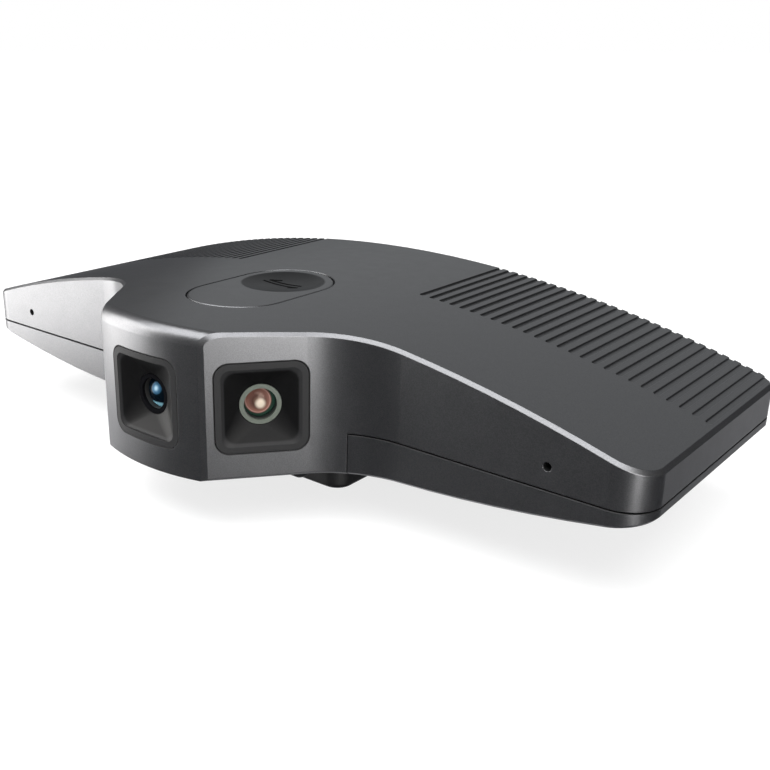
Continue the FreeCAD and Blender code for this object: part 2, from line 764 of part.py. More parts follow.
top_cut = cut("top_cut", fuse("top_with_bosses", [grooved, under_roof]), top_tools)


def on_seam_edge(height):
    def check(spot):
        return abs(spot.z - height) < NEAR and on_outline(spot) and spot.y > WING_Y - 8
    return check


top_shell = dressed("Chamfer", "top_shell", top_cut, val("seam_chamfer"),
                    on_seam_edge(SEAM_Z + val("seam_gap / 2")))

# Bottom shell: the wings' lower band and the floor, with a plate that fills the nose's bottom
# opening and a lip that stands up behind the seam.
nose_clear = nose_zone("nose_clear", "nose_seam_gap")
band_zone = cut("band_zone", block("band_low", (*wide, "seam_z - seam_gap / 2"), (0, 0, "0")), nose_clear)
plate_plan = drawn_body("plate_plan", "XY", housing_outline("wall + slip_gap"), "seam_z - seam_gap / 2")
bottom_zone = fuse("bottom_zone", [band_zone, plate_plan])
tray = cut("bottom_tray", common("bottom_blank", [outer, bottom_zone]), tray_hollow)
lip_outside = drawn_body("lip_outside", "XY", housing_outline("wall + slip_gap"), "lip_above + lip_below",
                         offset="seam_z - lip_below")
lip_inside = drawn_body("lip_inside", "XY", housing_outline("wall + slip_gap + lip_wall"),
                        "lip_above + lip_below + 2 * past", offset="seam_z - lip_below - past")
root_outside = drawn_body("root_outside", "XY", housing_outline("wall - thread_gap"), "lip_root",
                          offset="seam_z - lip_below")
rings = [cut(name, cut(name + "_full", outline, lip_inside), nose_clear)
         for name, outline in (("lip_ring", lip_outside), ("root_ring", root_outside))]
standoffs = []
floor_tools = []
for number, (x, y) in enumerate(BOARD_SCREWS):
    standoffs.append(rod(f"standoff_{number}", "boss_radius", "standoff + bite", (x, y, f"{FOOT_Z} - bite")))
    floor_tools.append(rod(f"standoff_bore_{number}", "screw_radius + thread_gap", "standoff + past + bite",
                           (x, y, f"{FOOT_Z} - bite")))
for number, (x, y) in enumerate(HOUSING_SCREWS):
    low = f"floor_z + {floor_lift_at(x)} - 2 * past"
    floor_tools.append(rod(f"floor_hole_{number}", "screw_radius + screw_clear",
                           "floor_wall + 4 * past", (x, y, low)))
    floor_tools.append(rod(f"floor_sink_{number}", "screw_head_radius + screw_clear",
                           "screw_head + head_sink + 2 * past", (x, y, low)))
for number, (x, y) in enumerate(TILT_SCREWS):
    standoffs.append(rod(f"tilt_boss_{number}", "boss_slim", f"tilt_boss_z - ({FOOT_Z}) + bite",
                         (x, y, f"{FOOT_Z} - bite")))
    floor_tools.append(rod(f"tilt_bore_{number}", "screw_radius + thread_gap",
                           "tilt_boss_z - floor_z + 2 * past", (x, y, "floor_z - past")))
for number, (x, y) in enumerate(BRACKET_SCREWS):
    floor_tools.append(rod(f"bracket_floor_bore_{number}", "small_screw_radius + thread_gap", "floor_wall",
                           (x, y, f"{FOOT_Z} - floor_wall + bite")))


def usb_slug(name, grow, length, start):
    """A rounded flat slug the shape of the USB-C shell, made larger by a formula."""
    half, side = f"(usb_thick / 2 + {grow})", f"(usb_width / 2 + {grow})"
    return drawn_body(name, "XZ", [
        (f"-{side} + {half}", f"usb_z - {half}"), (f"{side} - {half}", f"usb_z - {half}", half, 1),
        (f"{side} - {half}", f"usb_z + {half}"), (f"-{side} + {half}", f"usb_z + {half}", half, 1)],
        length, offset=f"-({start}) - ({length})")


usb_hole = usb_slug("usb_hole", "usb_gap", "wall + lip_wall + 3 * past",
                    "rear_y - wall - lip_wall - 2 * past")
bottom_raw = fuse("bottom_raw", [tray] + rings + standoffs)
bottom_cut = cut("bottom_cut", bottom_raw, fuse("bottom_tools", floor_tools + [usb_hole]))
bottom_shell = dressed("Chamfer", "bottom_shell", bottom_cut, val("seam_chamfer"),
                       on_seam_edge(SEAM_Z - val("seam_gap / 2")))
housing_screws = screw_set("housing_screws", HOUSING_SCREWS,
                           lambda x: f"floor_z + {floor_lift_at(x)} + screw_head + head_sink",
                           "screw_radius", "grip + 2", "screw_head_radius", "screw_head")

# Mode key: a flush plate with a finger dish. It rocks on a pin at its front end, and its dish
# presses the switch. A flange below the roof keeps it in.
key_column = drawn_body("key_column", "XY", obround("key_front_y", "key_rear_y", "key_radius"),
                        "roof_z - key_under_z + past", offset="key_under_z")
key_plate = common("key_plate", [key_column, arches])
key_skirt = drawn_body("key_skirt", "XY", obround("key_front_y", "key_rear_y", "key_radius + key_flange"),
                       "key_flange_thick", offset="key_under_z")
key_lug = block("key_lug",
                ("2 * key_lug_half", "lug_depth", "key_under_z + bite - key_pin_z + lug_below_pin"),
                (0, "key_pin_y", "key_pin_z - lug_below_pin"))
skirt_front = block("skirt_front", ("4 * key_radius", "4 * lug_depth", "4 * key_flange_thick"),
                    (0, "key_pin_y - 2.5 * lug_depth", "key_under_z - key_flange_thick"))
ear_rooms = [block(f"key_ear_room_{number}", ("ear_thick + 2 * ear_room", "lug_depth + 2 * ear_room",
                                              "key_drop + key_flange_thick + ear_room"),
                   (x, y, "key_under_z - past / 4"))
             for number, (x, y) in enumerate(mirrored([("ear_x", "key_pin_y")]))]
key_form = fuse("key_form", [key_plate, cut("skirt_short", key_skirt, skirt_front), key_lug])
dish = doc.addObject("Part::Sphere", "key_dish")
bind(dish, "Radius", "dish_curve")
place(dish, ("0", "key_rear_y", "roof_z - dish_depth + dish_curve"))
key_bore = rod("key_bore", "key_pin_radius + bore_fit", "2 * (key_lug_half + past)",
               ("-(key_lug_half + past)", "key_pin_y", "key_pin_z"), "x")
key_cut = cut("key_cut", key_form, fuse("key_tools", ear_rooms + [dish, key_bore]))
DISH_CENTRE = Vector(0, val("key_rear_y"), 0)


def on_key_rim(spot):
    """The key's outer top edge, not the dish's edge."""
    flat = Vector(spot.x, spot.y, 0)
    return spot.z > ROOF_Z - 0.6 and flat.distanceToPoint(DISH_CENTRE) > val("dish_radius + key_gap")


mode_key = dressed("Chamfer", "mode_key", key_cut, val("key_edge"), on_key_rim)
key_pin = rod("key_pin", "key_pin_radius", f"2 * {pin_reach}",
              (f"-{pin_reach}", "key_pin_y", "key_pin_z"), "x")
switch_case = block("switch_case", ("switch_side", "switch_side", "switch_height"),
                    (0, "key_rear_y", "key_board_top"))
switch_bore = rod("switch_bore", "plunger_radius + plunger_gap", "switch_height",
                  (0, "key_rear_y", "key_board_top + switch_floor"))
key_switch = cut("key_switch", switch_case, switch_bore)
switch_plunger = rod("switch_plunger", "plunger_radius", "plunger_reach + plunger_seat",
                     (0, "key_rear_y", "key_under_z - plunger_reach - plunger_seat"))
key_board_blank = block("key_board_blank", ("2 * (key_boss_x + boss_slim)", "key_board_depth", "board_thick"),
                        (0, "key_rear_y", "key_board_z"))
key_board = cut("key_board", key_board_blank, fuse("key_board_holes", [
    rod(f"key_board_hole_{number}", "small_screw_radius + screw_clear", "board_thick + 2 * past",
        (x, y, "key_board_z - past")) for number, (x, y) in enumerate(KEY_BOARD_SCREWS)]))
key_board_screws = screw_set("key_board_screws", KEY_BOARD_SCREWS, lambda x: "key_board_z",
                             "small_screw_radius", "grip - bite", "small_head_radius", "small_head")


# Optics of each station: hood, retaining ring, front element, barrel, holder, image board
# and sensor, all on the station's axis.
def ruled_funnel(name, station):
    """The hood's hollow: flat walls that run in from the rim to the round lens opening."""
    wires = []
    for depth, half, corner in ((0.0, val("funnel_half"), val("funnel_corner")),
                                (val("ring_recess"), val("throat_radius"), val("throat_radius") - 0.1)):
        flat = half - corner
        middle = flat + corner * math.sqrt(0.5)
        sides = []
        for quarter in range(4):
            turn = Rotation(Vector(0, 1, 0), -90 * quarter)
            spots = [turn.multVec(Vector(x, depth, z)) for x, z in
                     ((flat, -half), (middle, -middle), (half, -flat), (half, flat))]
            sides.append(Part.Arc(*spots[:3]).toShape())
            sides.append(Part.LineSegment(*spots[2:]).toShape())
        wires.append(Part.Wire(Part.__sortEdges__(sides)))
    thing = doc.addObject("Part::Feature", name)
    thing.Shape = Part.makeLoft(wires, True, True)
    return at_station(thing, station)


optics = {}
for station in STATIONS:
    hood_form = square_prism(f"hood_form_{station}", station, "hood_half", "hood_corner", "hood_depth")
    hood_solid = common(f"hood_solid_{station}", [hood_form, outer])
    hood_hollow = fuse(f"hood_hollow_{station}", [
        square_prism(f"hood_front_{station}", station, "funnel_half", "funnel_corner", "0.001"),
        ruled_funnel(f"hood_funnel_{station}", station),
        axial(f"hood_throat_{station}", station, "throat_radius", "hood_depth", "ring_recess - 0.01")])
    hood = cut(f"lens_hood_{station}", hood_solid, hood_hollow)
    ring = cut(f"lens_ring_{station}",
               axial(f"ring_disc_{station}", station, "ring_radius", "ring_thick", "ring_recess"),
               axial(f"ring_hole_{station}", station, "ring_bore", "ring_thick + 2 * past",
                     "ring_recess - past"))
    ball = doc.addObject("Part::Sphere", f"dome_ball_{station}")
    bind(ball, "Radius", "dome_curve")
    at_station(ball, station, "ring_recess + dome_sink + dome_curve")
    slug = axial(f"dome_slug_{station}", station, "dome_radius", "dome_crown + dome_edge + past",
                 "ring_recess + dome_sink - past")
    dome = common(f"lens_dome_{station}", [ball, slug])
    tube = axial(f"barrel_tube_{station}", station, "barrel_radius", "barrel_length", "barrel_seat")
    dome_room = axial(f"dome_room_{station}", station, "dome_radius + thread_gap",
                      "dome_sink + dome_crown + dome_edge - ring_thick", "barrel_seat")
    bore = axial(f"barrel_bore_{station}", station, "barrel_bore", "barrel_length + past", "barrel_seat")
    barrel = cut(f"lens_barrel_{station}", tube, fuse(f"barrel_hollow_{station}", [dome_room, bore]))
    holder_block = station_block(f"holder_block_{station}", station,
                                 ("holder_side", "holder_thick", "holder_side"), "board_seat - holder_thick")
    holder_bore = axial(f"holder_bore_{station}", station, "barrel_radius + thread_gap",
                        "holder_thick + 2 * past", "board_seat - holder_thick - past")
    holder = cut(f"lens_holder_{station}", holder_block, holder_bore)
    board = station_block(f"image_board_{station}", station,
                          ("image_board_side", "board_thick", "image_board_side"), "board_seat")
    sensor = station_block(f"image_sensor_{station}", station,
                           ("sensor_width", "sensor_thick", "sensor_height"), "board_seat - sensor_thick")
    optics[station] = {"lens_hood": hood, "lens_ring": ring, "lens_dome": dome, "lens_barrel": barrel,
                       "lens_holder": holder, "image_board": board, "image_sensor": sensor}


# Camera bracket: one bent sheet behind the three image boards. Two legs run down from its
# centre face to feet that are screwed to the floor.
def bracket_corner(depth):
    """Where the bracket's centre face meets its right face, at a depth behind the seats."""
    y = f"centre_ref_y + {depth}"
    x = f"ridge_half - ({depth}) * facet_dy + (({y}) - ridge_y - ({depth}) * facet_dx) / facet_dy * facet_dx"
    return x, y


def bracket_end(depth):
    """The outer end of the bracket's right face."""
    return station_spot("right", "image_board_side / 2 + bite", depth)


near, deep = "bracket_seat", "(bracket_seat + bracket_sheet)"
half_path = [bracket_corner(near), bracket_end(near), bracket_end(deep), bracket_corner(deep)]
bracket_path = half_path + [(f"-({x})", y) for x, y in reversed(half_path)]
bracket_parts = [drawn_body("bracket_wall", "XY", bracket_path, "bracket_top - bracket_z",
                            offset="bracket_z")]
for number, (x, _) in enumerate(BRACKET_SCREWS):
    bracket_parts.append(block(
        f"bracket_leg_{number}", ("bracket_leg_width", "bracket_sheet", "bracket_low - floor_wall + bite"),
        (x, "centre_ref_y + bracket_seat + bracket_sheet / 2", FOOT_Z)))
    bracket_parts.append(block(
        f"bracket_foot_{number}", ("bracket_leg_width", "bracket_foot", "bracket_sheet"),
        (x, "centre_ref_y + bracket_seat + bracket_foot / 2", FOOT_Z)))
bracket_holes = [rod(f"bracket_hole_{number}", "small_screw_radius + screw_clear", "bracket_sheet + 2 * past",
                     (x, y, f"{FOOT_Z} - past")) for number, (x, y) in enumerate(BRACKET_SCREWS)]
camera_bracket = cut("camera_bracket", fuse("bracket_form", bracket_parts),
                     fuse("bracket_holes", bracket_holes))
bracket_screws = screw_set("bracket_screws", BRACKET_SCREWS, lambda x: f"{FOOT_Z} + bracket_sheet",
                           "small_screw_radius", "bracket_sheet + floor_wall - past", "small_head_radius",
                           "small_head", up=False)

# Main board with its processor, memory, heat sink and USB-C inlet.
main_blank = drawn_body("main_board_blank", "XY", [
    ("-main_board_half", "main_board_front"), ("main_board_half", "main_board_front"),
    ("main_board_half", "main_board_rear"), ("-main_board_half", "main_board_rear")],
    "board_thick", offset="main_board_z")
main_board = cut("main_board", main_blank, fuse("main_board_holes", [
    rod(f"main_board_hole_{number}", "screw_radius + screw_clear", "board_thick + 2 * past",
        (x, y, "main_board_z - past")) for number, (x, y) in enumerate(BOARD_SCREWS)]))
board_screws = screw_set("board_screws", BOARD_SCREWS, lambda x: "board_top", "screw_radius",
                         "board_thick + standoff", "screw_head_radius", "screw_head", up=False)
processor = block("processor", ("chip_side", "chip_side", "chip_thick"), (0, "chip_y", "board_top"))
memory_chips = group("memory_chips", [
    block(f"memory_chip_{number}", ("memory_width", "memory_length", "memory_thick"), (x, y, "board_top"))
    for number, (x, y) in enumerate(mirrored([("memory_x", "chip_y")]))])
thermal_pad = block("thermal_pad", ("chip_side", "chip_side", "pad_thick"),
                    (0, "chip_y", "board_top + chip_thick"))
FIN_COUNT = 10
fin_pitch = f"(sink_side - fin_thick) / {FIN_COUNT - 1}"
fins = [block(f"sink_fin_{number}", ("fin_thick", "sink_side", "fin_height + bite"),
              (f"{fin_pitch} * {number - (FIN_COUNT - 1) / 2}", "chip_y", "sink_z + sink_base - bite"))
        for number in range(FIN_COUNT)]
heat_sink = fuse("heat_sink", [block("sink_plate", ("sink_side", "sink_side", "sink_base"),
                                     (0, "chip_y", "sink_z"))] + fins)
usb_shield = cut("usb_shield", usb_slug("usb_shell", "0", "usb_length", "usb_front"),
                 usb_slug("usb_mouth", "(-usb_wall)", "usb_length", "usb_front + usb_back_wall"))
usb_tongue = block("usb_tongue", ("tongue_width", "usb_length - 2 * usb_back_wall", "tongue_thick"),
                   (0, "usb_front + usb_length / 2 - bite", "usb_z - tongue_thick / 2"))
usb_socket = fuse("usb_socket", [usb_shield, usb_tongue])

# Microphones: a gasket and a small upright board behind each front hole, with a flat ribbon
# that climbs to it from the main board.
mics = {}
for side, sign in (("right", 1), ("left", -1)):
    gasket = cut(f"mic_gasket_{side}",
                 block(f"gasket_blank_{side}", ("gasket_width", "mic_gasket", "gasket_height"),
                       (f"{sign} * mic_x", "wing_y + wall + mic_gasket / 2", "mic_z - gasket_height / 2")),
                 rod(f"gasket_hole_{side}", "mic_hole_radius", "mic_gasket + 2 * past",
                     (f"{sign} * mic_x", "wing_y + wall - past", "mic_z"), "y"))
    board = block(f"mic_board_{side}", ("mic_board_width", "board_thick", "mic_board_height"),
                  (f"{sign} * mic_x", "mic_back - board_thick / 2", "mic_z - mic_board_height / 2"))
    climb_end, arm = "main_board_half + ribbon_lap + ribbon_climb", "mic_z - ribbon_arm_drop"
    under = [("main_board_half - ribbon_lap", "board_top"), ("main_board_half + ribbon_lap", "board_top"),
             (climb_end, arm), ("mic_x - mic_board_width / 4", arm)]
    over = [(f"{x} - ribbon_thick / 2", f"{z} + ribbon_thick") for x, z in reversed(under[1:3])]
    path = under + [(under[3][0], f"{arm} + ribbon_thick")] + over
    path.append((under[0][0], "board_top + ribbon_thick"))
    path = [(f"{sign} * ({x})", z) for x, z in path]
    ribbon = drawn_body(f"mic_ribbon_{side}", "XZ", path[::sign], "mic_ribbon_width",
                        offset="-mic_back - mic_ribbon_width")
    mics[side] = {"mic_gasket": gasket, "mic_board": board, "mic_ribbon": ribbon}

# Camera ribbons: down from each image board, then back under the bracket to a connector.
RIBBON_SPREAD = {"centre": "0", "right": "connector_pitch", "left": "-connector_pitch"}
ribbon_solids = []
connectors = []
for station, x in RIBBON_SPREAD.items():
    half = "camera_ribbon_width / 2"
    ends = [station_spot(station, f"{sign}{half}", "board_seat - ribbon_thick") for sign in ("-", "")]
    path = ends + [(f"{x} + {half}", "main_board_front + connector_setback"),
                   (f"{x} - {half}", "main_board_front + connector_setback")]
    run = drawn_body(f"ribbon_run_{station}", "XY", path, "ribbon_thick", offset="ribbon_z")
    drop_height = "hood_z - image_board_side / 2 + ribbon_joint - ribbon_z"
    drop = station_block(f"ribbon_drop_{station}", station,
                         ("camera_ribbon_width", "ribbon_thick", drop_height), "board_seat - ribbon_thick",
                         "(hood_z - ribbon_z + image_board_side / 2 - ribbon_joint) / 2")
    ribbon_solids.append(fuse(f"ribbon_{station}", [run, drop]))
    connector_y = "main_board_front + connector_setback - connector_depth / 2 + bite"
    connectors.append(block(f"connector_{station}",
                            ("connector_width", "connector_depth", "connector_height"),
                            (x, connector_y, "board_top")))
camera_ribbons = group("camera_ribbons", ribbon_solids)
ribbon_connectors = group("ribbon_connectors", connectors)


# Tilt hinge: two lugs on flanges, screwed up into the housing's floor ahead of the clip.
def lug_profile(name, axis_y, axis_z, radius, top, start, length):
    """An upright lug, round below and straight sided up to a top, along X from a start."""
    return drawn_body(name, "YZ", [
        (f"{axis_y} - {radius}", axis_z, radius, 1), (f"{axis_y} + {radius}", axis_z),
        (f"{axis_y} + {radius}", top), (f"{axis_y} - {radius}", top)], length, offset=start)


tilt_brackets = {}
for side, sign in (("right", 1), ("left", -1)):
    start = "tilt_lug_half - tilt_lug_thick" if sign > 0 else "-tilt_lug_half"
    lug = lug_profile(f"tilt_lug_{side}", "tilt_axis_y", "tilt_axis_z", "tilt_lug_radius", "floor_z", start,
                      "tilt_lug_thick")
    OUTER_X = sign * val("tilt_lug_half")

    def on_lug_edge(spot):
        return abs(spot.x - OUTER_X) < NEAR and spot.z < FLOOR_Z - NEAR

    soft_lug = dressed("Fillet", f"tilt_lug_soft_{side}", lug, val("tilt_lug_edge"), on_lug_edge)
    flange = block(f"tilt_flange_{side}", ("tilt_flange + bite", "tilt_flange_length", "tilt_flange_thick"),
                   (f"{sign} * (tilt_lug_half + tilt_flange / 2 - bite / 2)", "tilt_screw_y",
                    "floor_z - tilt_flange_thick"))
    lug_tools = [rod(f"tilt_lug_bore_{side}", "hinge_pin_radius + pin_fit", "tilt_lug_thick + 2 * past",
                     (f"({start}) - past", "tilt_axis_y", "tilt_axis_z"), "x")]
    lug_tools += [rod(f"tilt_flange_hole_{side}_{number}", "screw_radius + screw_clear",
                      "tilt_flange_thick + 2 * past", (x, y, "floor_z - tilt_flange_thick - past"))
                  for number, (x, y) in enumerate(TILT_SCREWS) if val(x) * sign > 0]
    tilt_brackets[side] = cut(f"tilt_bracket_{side}", fuse(f"tilt_bracket_form_{side}", [soft_lug, flange]),
                              fuse(f"tilt_bracket_tools_{side}", lug_tools))
tilt_bracket_screws = screw_set("tilt_bracket_screws", TILT_SCREWS, lambda x: "floor_z - tilt_flange_thick",
                                "screw_radius", "tilt_flange_thick + tilt_boss_z - floor_z - board_clear",
                                "flat_head_radius", "flat_head")
tilt_pin = rod("tilt_pin", "hinge_pin_radius", "2 * (tilt_lug_half - pin_inset)",
               ("-(tilt_lug_half - pin_inset)", "tilt_axis_y", "tilt_axis_z"), "x")


def washer_pair(name, gap_end, axis_y, axis_z, radius):
    """Friction washers in the two gaps beside a hinge barrel. A gap ends at gap_end."""
    washers = []
    for side, sign in (("right", 1), ("left", -1)):
        inner = f"({gap_end} - hinge_gap / 2 - washer_thick / 2)"
        start = inner if sign > 0 else f"-{inner} - washer_thick"
        disc = rod(f"{name}_disc_{side}", radius, "washer_thick", (start, axis_y, axis_z), "x")
        hole = rod(f"{name}_hole_{side}", "hinge_pin_radius + bore_fit", "washer_thick + 2 * past",
                   (f"{start} - past", axis_y, axis_z), "x")
        washers.append(cut(f"{name}_{side}", disc, hole))
    return group(name, washers)


tilt_washers = washer_pair("tilt_washers", "tilt_lug_half - tilt_lug_thick", "tilt_axis_y", "tilt_axis_z",
                           "tilt_lug_radius - washer_inset")


# Clip platform: the plate under the housing, with the tilt barrel at its front and the leg's
# two lugs at its rear. A rubber pad below it faces the monitor.
def clip_outline(rear):
    """Plan of a clip plate: rounded front corners, square rear ones."""
    return [("-clip_half + clip_corner", "clip_front_y"),
            ("clip_half - clip_corner", "clip_front_y", "clip_corner", 1),
            ("clip_half", "clip_front_y + clip_corner"), ("clip_half", rear), ("-clip_half", rear),
            ("-clip_half", "clip_front_y + clip_corner", "clip_corner", 1)]


platform_plate = drawn_body("platform_plate", "XY", clip_outline("platform_rear"), "platform_thick",
                            offset="platform_z")
tilt_barrel = rod("tilt_barrel", "tilt_lug_radius", "2 * barrel_half",
                  ("-barrel_half", "tilt_axis_y", "tilt_axis_z"), "x")
neck = drawn_body("platform_neck", "YZ", [
    ("tilt_axis_y", "tilt_axis_z"), ("clip_front_y + neck_run", "platform_z"),
    ("clip_front_y + neck_run", "platform_top"), ("tilt_axis_y", "platform_top")],
    "2 * barrel_half", both_ways=True)
platform_parts = [platform_plate, tilt_barrel, neck]
for side, sign in (("right", 1), ("left", -1)):
    start = "leg_lug_half" if sign > 0 else "-clip_half"
    platform_parts.append(lug_profile(f"leg_lug_{side}", "leg_axis_y", "leg_axis_z", "leg_lug_radius",
                                      "platform_top", start, "clip_half - leg_lug_half"))
    platform_parts.append(block(
        f"leg_arm_{side}",
        ("clip_half - leg_lug_half", "leg_axis_y - platform_rear + bite", "platform_thick"),
        (f"{sign} * (clip_half + leg_lug_half) / 2", "(platform_rear + leg_axis_y) / 2", "platform_z")))
platform_tools = fuse("platform_tools", [
    rod("tilt_barrel_bore", "hinge_pin_radius + bore_fit", "2 * (barrel_half + past)",
        ("-(barrel_half + past)", "tilt_axis_y", "tilt_axis_z"), "x"),
    rod("leg_lug_bore", "hinge_pin_radius + pin_fit", "2 * (clip_half + past)",
        ("-(clip_half + past)", "leg_axis_y", "leg_axis_z"), "x")])
clip_platform = cut("clip_platform", fuse("platform_form", platform_parts), platform_tools)
platform_pad = block("platform_pad", ("2 * pad_half", "platform_pad_length", "platform_pad"),
                     (0, "foot_front + platform_pad_length / 2", "platform_z - platform_pad"))

# Clip leg: folded forward under the platform. The webcam stands on its rubber foot, round a
# threaded insert for a tripod.
leg_plate = drawn_body("leg_plate", "XY", clip_outline("leg_rear"), "leg_top - leg_bottom",
                       offset="leg_bottom")
LEG_BOTTOM, LEG_REAR = val("leg_bottom"), val("leg_rear")


def on_leg_foot(spot):
    return spot.z < LEG_BOTTOM + NEAR and spot.y < LEG_REAR - NEAR


leg_soft = dressed("Fillet", "leg_soft", leg_plate, val("leg_edge"), on_leg_foot)
leg_barrel = rod("leg_barrel", "leg_lug_radius", "2 * leg_barrel_half",
                 ("-leg_barrel_half", "leg_axis_y", "leg_axis_z"), "x")
leg_neck = drawn_body("leg_neck", "YZ", [
    ("leg_rear - past", "leg_bottom + leg_edge"),
    ("leg_axis_y - past", "leg_axis_z - leg_lug_radius + neck_step"),
    ("leg_axis_y", "leg_top"), ("leg_rear - past", "leg_top")], "2 * leg_barrel_half", both_ways=True)
pad_flat = "(pad_half - foot_pad_corner)"
foot_outline = [(f"-{pad_flat}", "foot_front"), (pad_flat, "foot_front", "foot_pad_corner", 1),
                ("pad_half", "foot_front + foot_pad_corner"),
                ("pad_half", "foot_rear - foot_pad_corner", "foot_pad_corner", 1),
                (pad_flat, "foot_rear"), (f"-{pad_flat}", "foot_rear", "foot_pad_corner", 1),
                ("-pad_half", "foot_rear - foot_pad_corner"),
                ("-pad_half", "foot_front + foot_pad_corner", "foot_pad_corner", 1)]
foot_room = drawn_body("foot_room", "XY", foot_outline, "foot_pad_thick", offset="0")
leg_tools = fuse("leg_tools", [
    foot_room,
    rod("insert_room", "insert_radius", "insert_length", (0, "insert_y", "insert_z")),
    rod("insert_mouth", "insert_radius + insert_mouth", "foot_pad_thick", (0, "insert_y", "0")),
    rod("leg_bore", "hinge_pin_radius + bore_fit", "2 * (leg_barrel_half + past)",
        ("-(leg_barrel_half + past)", "leg_axis_y", "leg_axis_z"), "x")])
clip_leg = cut("clip_leg", fuse("leg_form", [leg_soft, leg_barrel, leg_neck]), leg_tools)
foot_pad = cut("foot_pad", foot_room, rod("foot_pad_hole", "insert_radius + insert_mouth",
                                          "foot_pad_thick + 2 * past", (0, "insert_y", "-past")))
leg_pad = block("leg_pad", ("2 * pad_half", "leg_pad_length", "leg_pad_thick"),
                (0, "foot_front + leg_pad_length / 2", "leg_top"))
insert_body = rod("insert_body", "insert_radius - thread_gap", "insert_length", (0, "insert_y", "insert_z"))
insert_thread = rod("insert_thread", "insert_bore", "insert_length + 2 * past",
                    (0, "insert_y", "insert_z - past"))
tripod_insert = cut("tripod_insert", insert_body, insert_thread)
leg_pin = rod("leg_pin", "hinge_pin_radius", "2 * (clip_half - pin_inset)",
              ("-(clip_half - pin_inset)", "leg_axis_y", "leg_axis_z"), "x")
leg_washers = washer_pair("leg_washers", "leg_lug_half", "leg_axis_y", "leg_axis_z",
                          "leg_lug_radius - washer_inset")

NODES = {thing.Name: thing for thing in (
    top_shell, bottom_shell, housing_screws, mode_key, key_pin, key_switch, switch_plunger, key_board,
    key_board_screws, camera_bracket, bracket_screws, camera_ribbons, ribbon_connectors, main_board,
    board_screws, processor, memory_chips, thermal_pad, heat_sink, usb_socket, tilt_bracket_screws,
    tilt_pin, tilt_washers, clip_platform, platform_pad, clip_leg, leg_pad, foot_pad, tripod_insert,
    leg_pin, leg_washers, *tilt_brackets.values())}
for pieces in (*mics.values(), *optics.values()):
    NODES.update({thing.Name: thing for thing in pieces.values()})

doc.recompute()
for thing in doc.Objects:
    if "Invalid" in thing.State or "Error" in thing.State:
        raise RuntimeError(f"{thing.Name} failed to rebuild")
for name, thing in NODES.items():
    if thing.Shape.isNull() or not thing.Shape.isValid() or not thing.Shape.Solids:
        raise RuntimeError(f"{name} has no valid solid")
for name, thing in NODES.items():
    thing.Label = name
    thing.Shape.exportStep(f"parts/{name}.step")
    print(name, len(thing.Shape.Solids), round(thing.Shape.Volume, 1))
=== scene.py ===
import math

import bpy
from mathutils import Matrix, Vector


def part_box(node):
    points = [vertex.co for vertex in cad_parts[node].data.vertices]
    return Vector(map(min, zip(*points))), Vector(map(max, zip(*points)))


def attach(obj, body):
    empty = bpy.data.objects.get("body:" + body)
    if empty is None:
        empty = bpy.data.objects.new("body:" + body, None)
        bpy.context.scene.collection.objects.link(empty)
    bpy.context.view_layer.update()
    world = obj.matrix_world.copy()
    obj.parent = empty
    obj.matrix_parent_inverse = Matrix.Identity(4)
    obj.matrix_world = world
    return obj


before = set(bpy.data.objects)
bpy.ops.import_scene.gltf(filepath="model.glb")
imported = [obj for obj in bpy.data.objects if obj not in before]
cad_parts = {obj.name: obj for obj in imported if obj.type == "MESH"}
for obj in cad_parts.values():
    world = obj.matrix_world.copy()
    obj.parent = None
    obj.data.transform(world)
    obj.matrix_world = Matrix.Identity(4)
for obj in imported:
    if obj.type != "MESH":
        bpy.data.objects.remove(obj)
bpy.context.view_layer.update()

# View: the photo's standpoint, ahead of the right wing and a little above the roof. The picture
# is the left part of a wider one, so the view is shifted sideways. Places are in metres and
# turns in degrees, here and below.
VIEW_PLACE = (0.1735, -0.1961, 0.1148)
VIEW_DOWN = 19.77
VIEW_TURN = 41.08
view = bpy.data.cameras.new("photo_view")
view.sensor_width = 36.0
view.lens = 46.75
view.shift_x = 0.1104
view.shift_y = 0.0013
view.clip_start = 0.01
camera = bpy.data.objects.new("photo_camera", view)
camera.location = VIEW_PLACE
camera.rotation_euler = (math.radians(90 - VIEW_DOWN), 0, math.radians(VIEW_TURN))
bpy.context.scene.collection.objects.link(camera)
bpy.context.scene.camera = camera


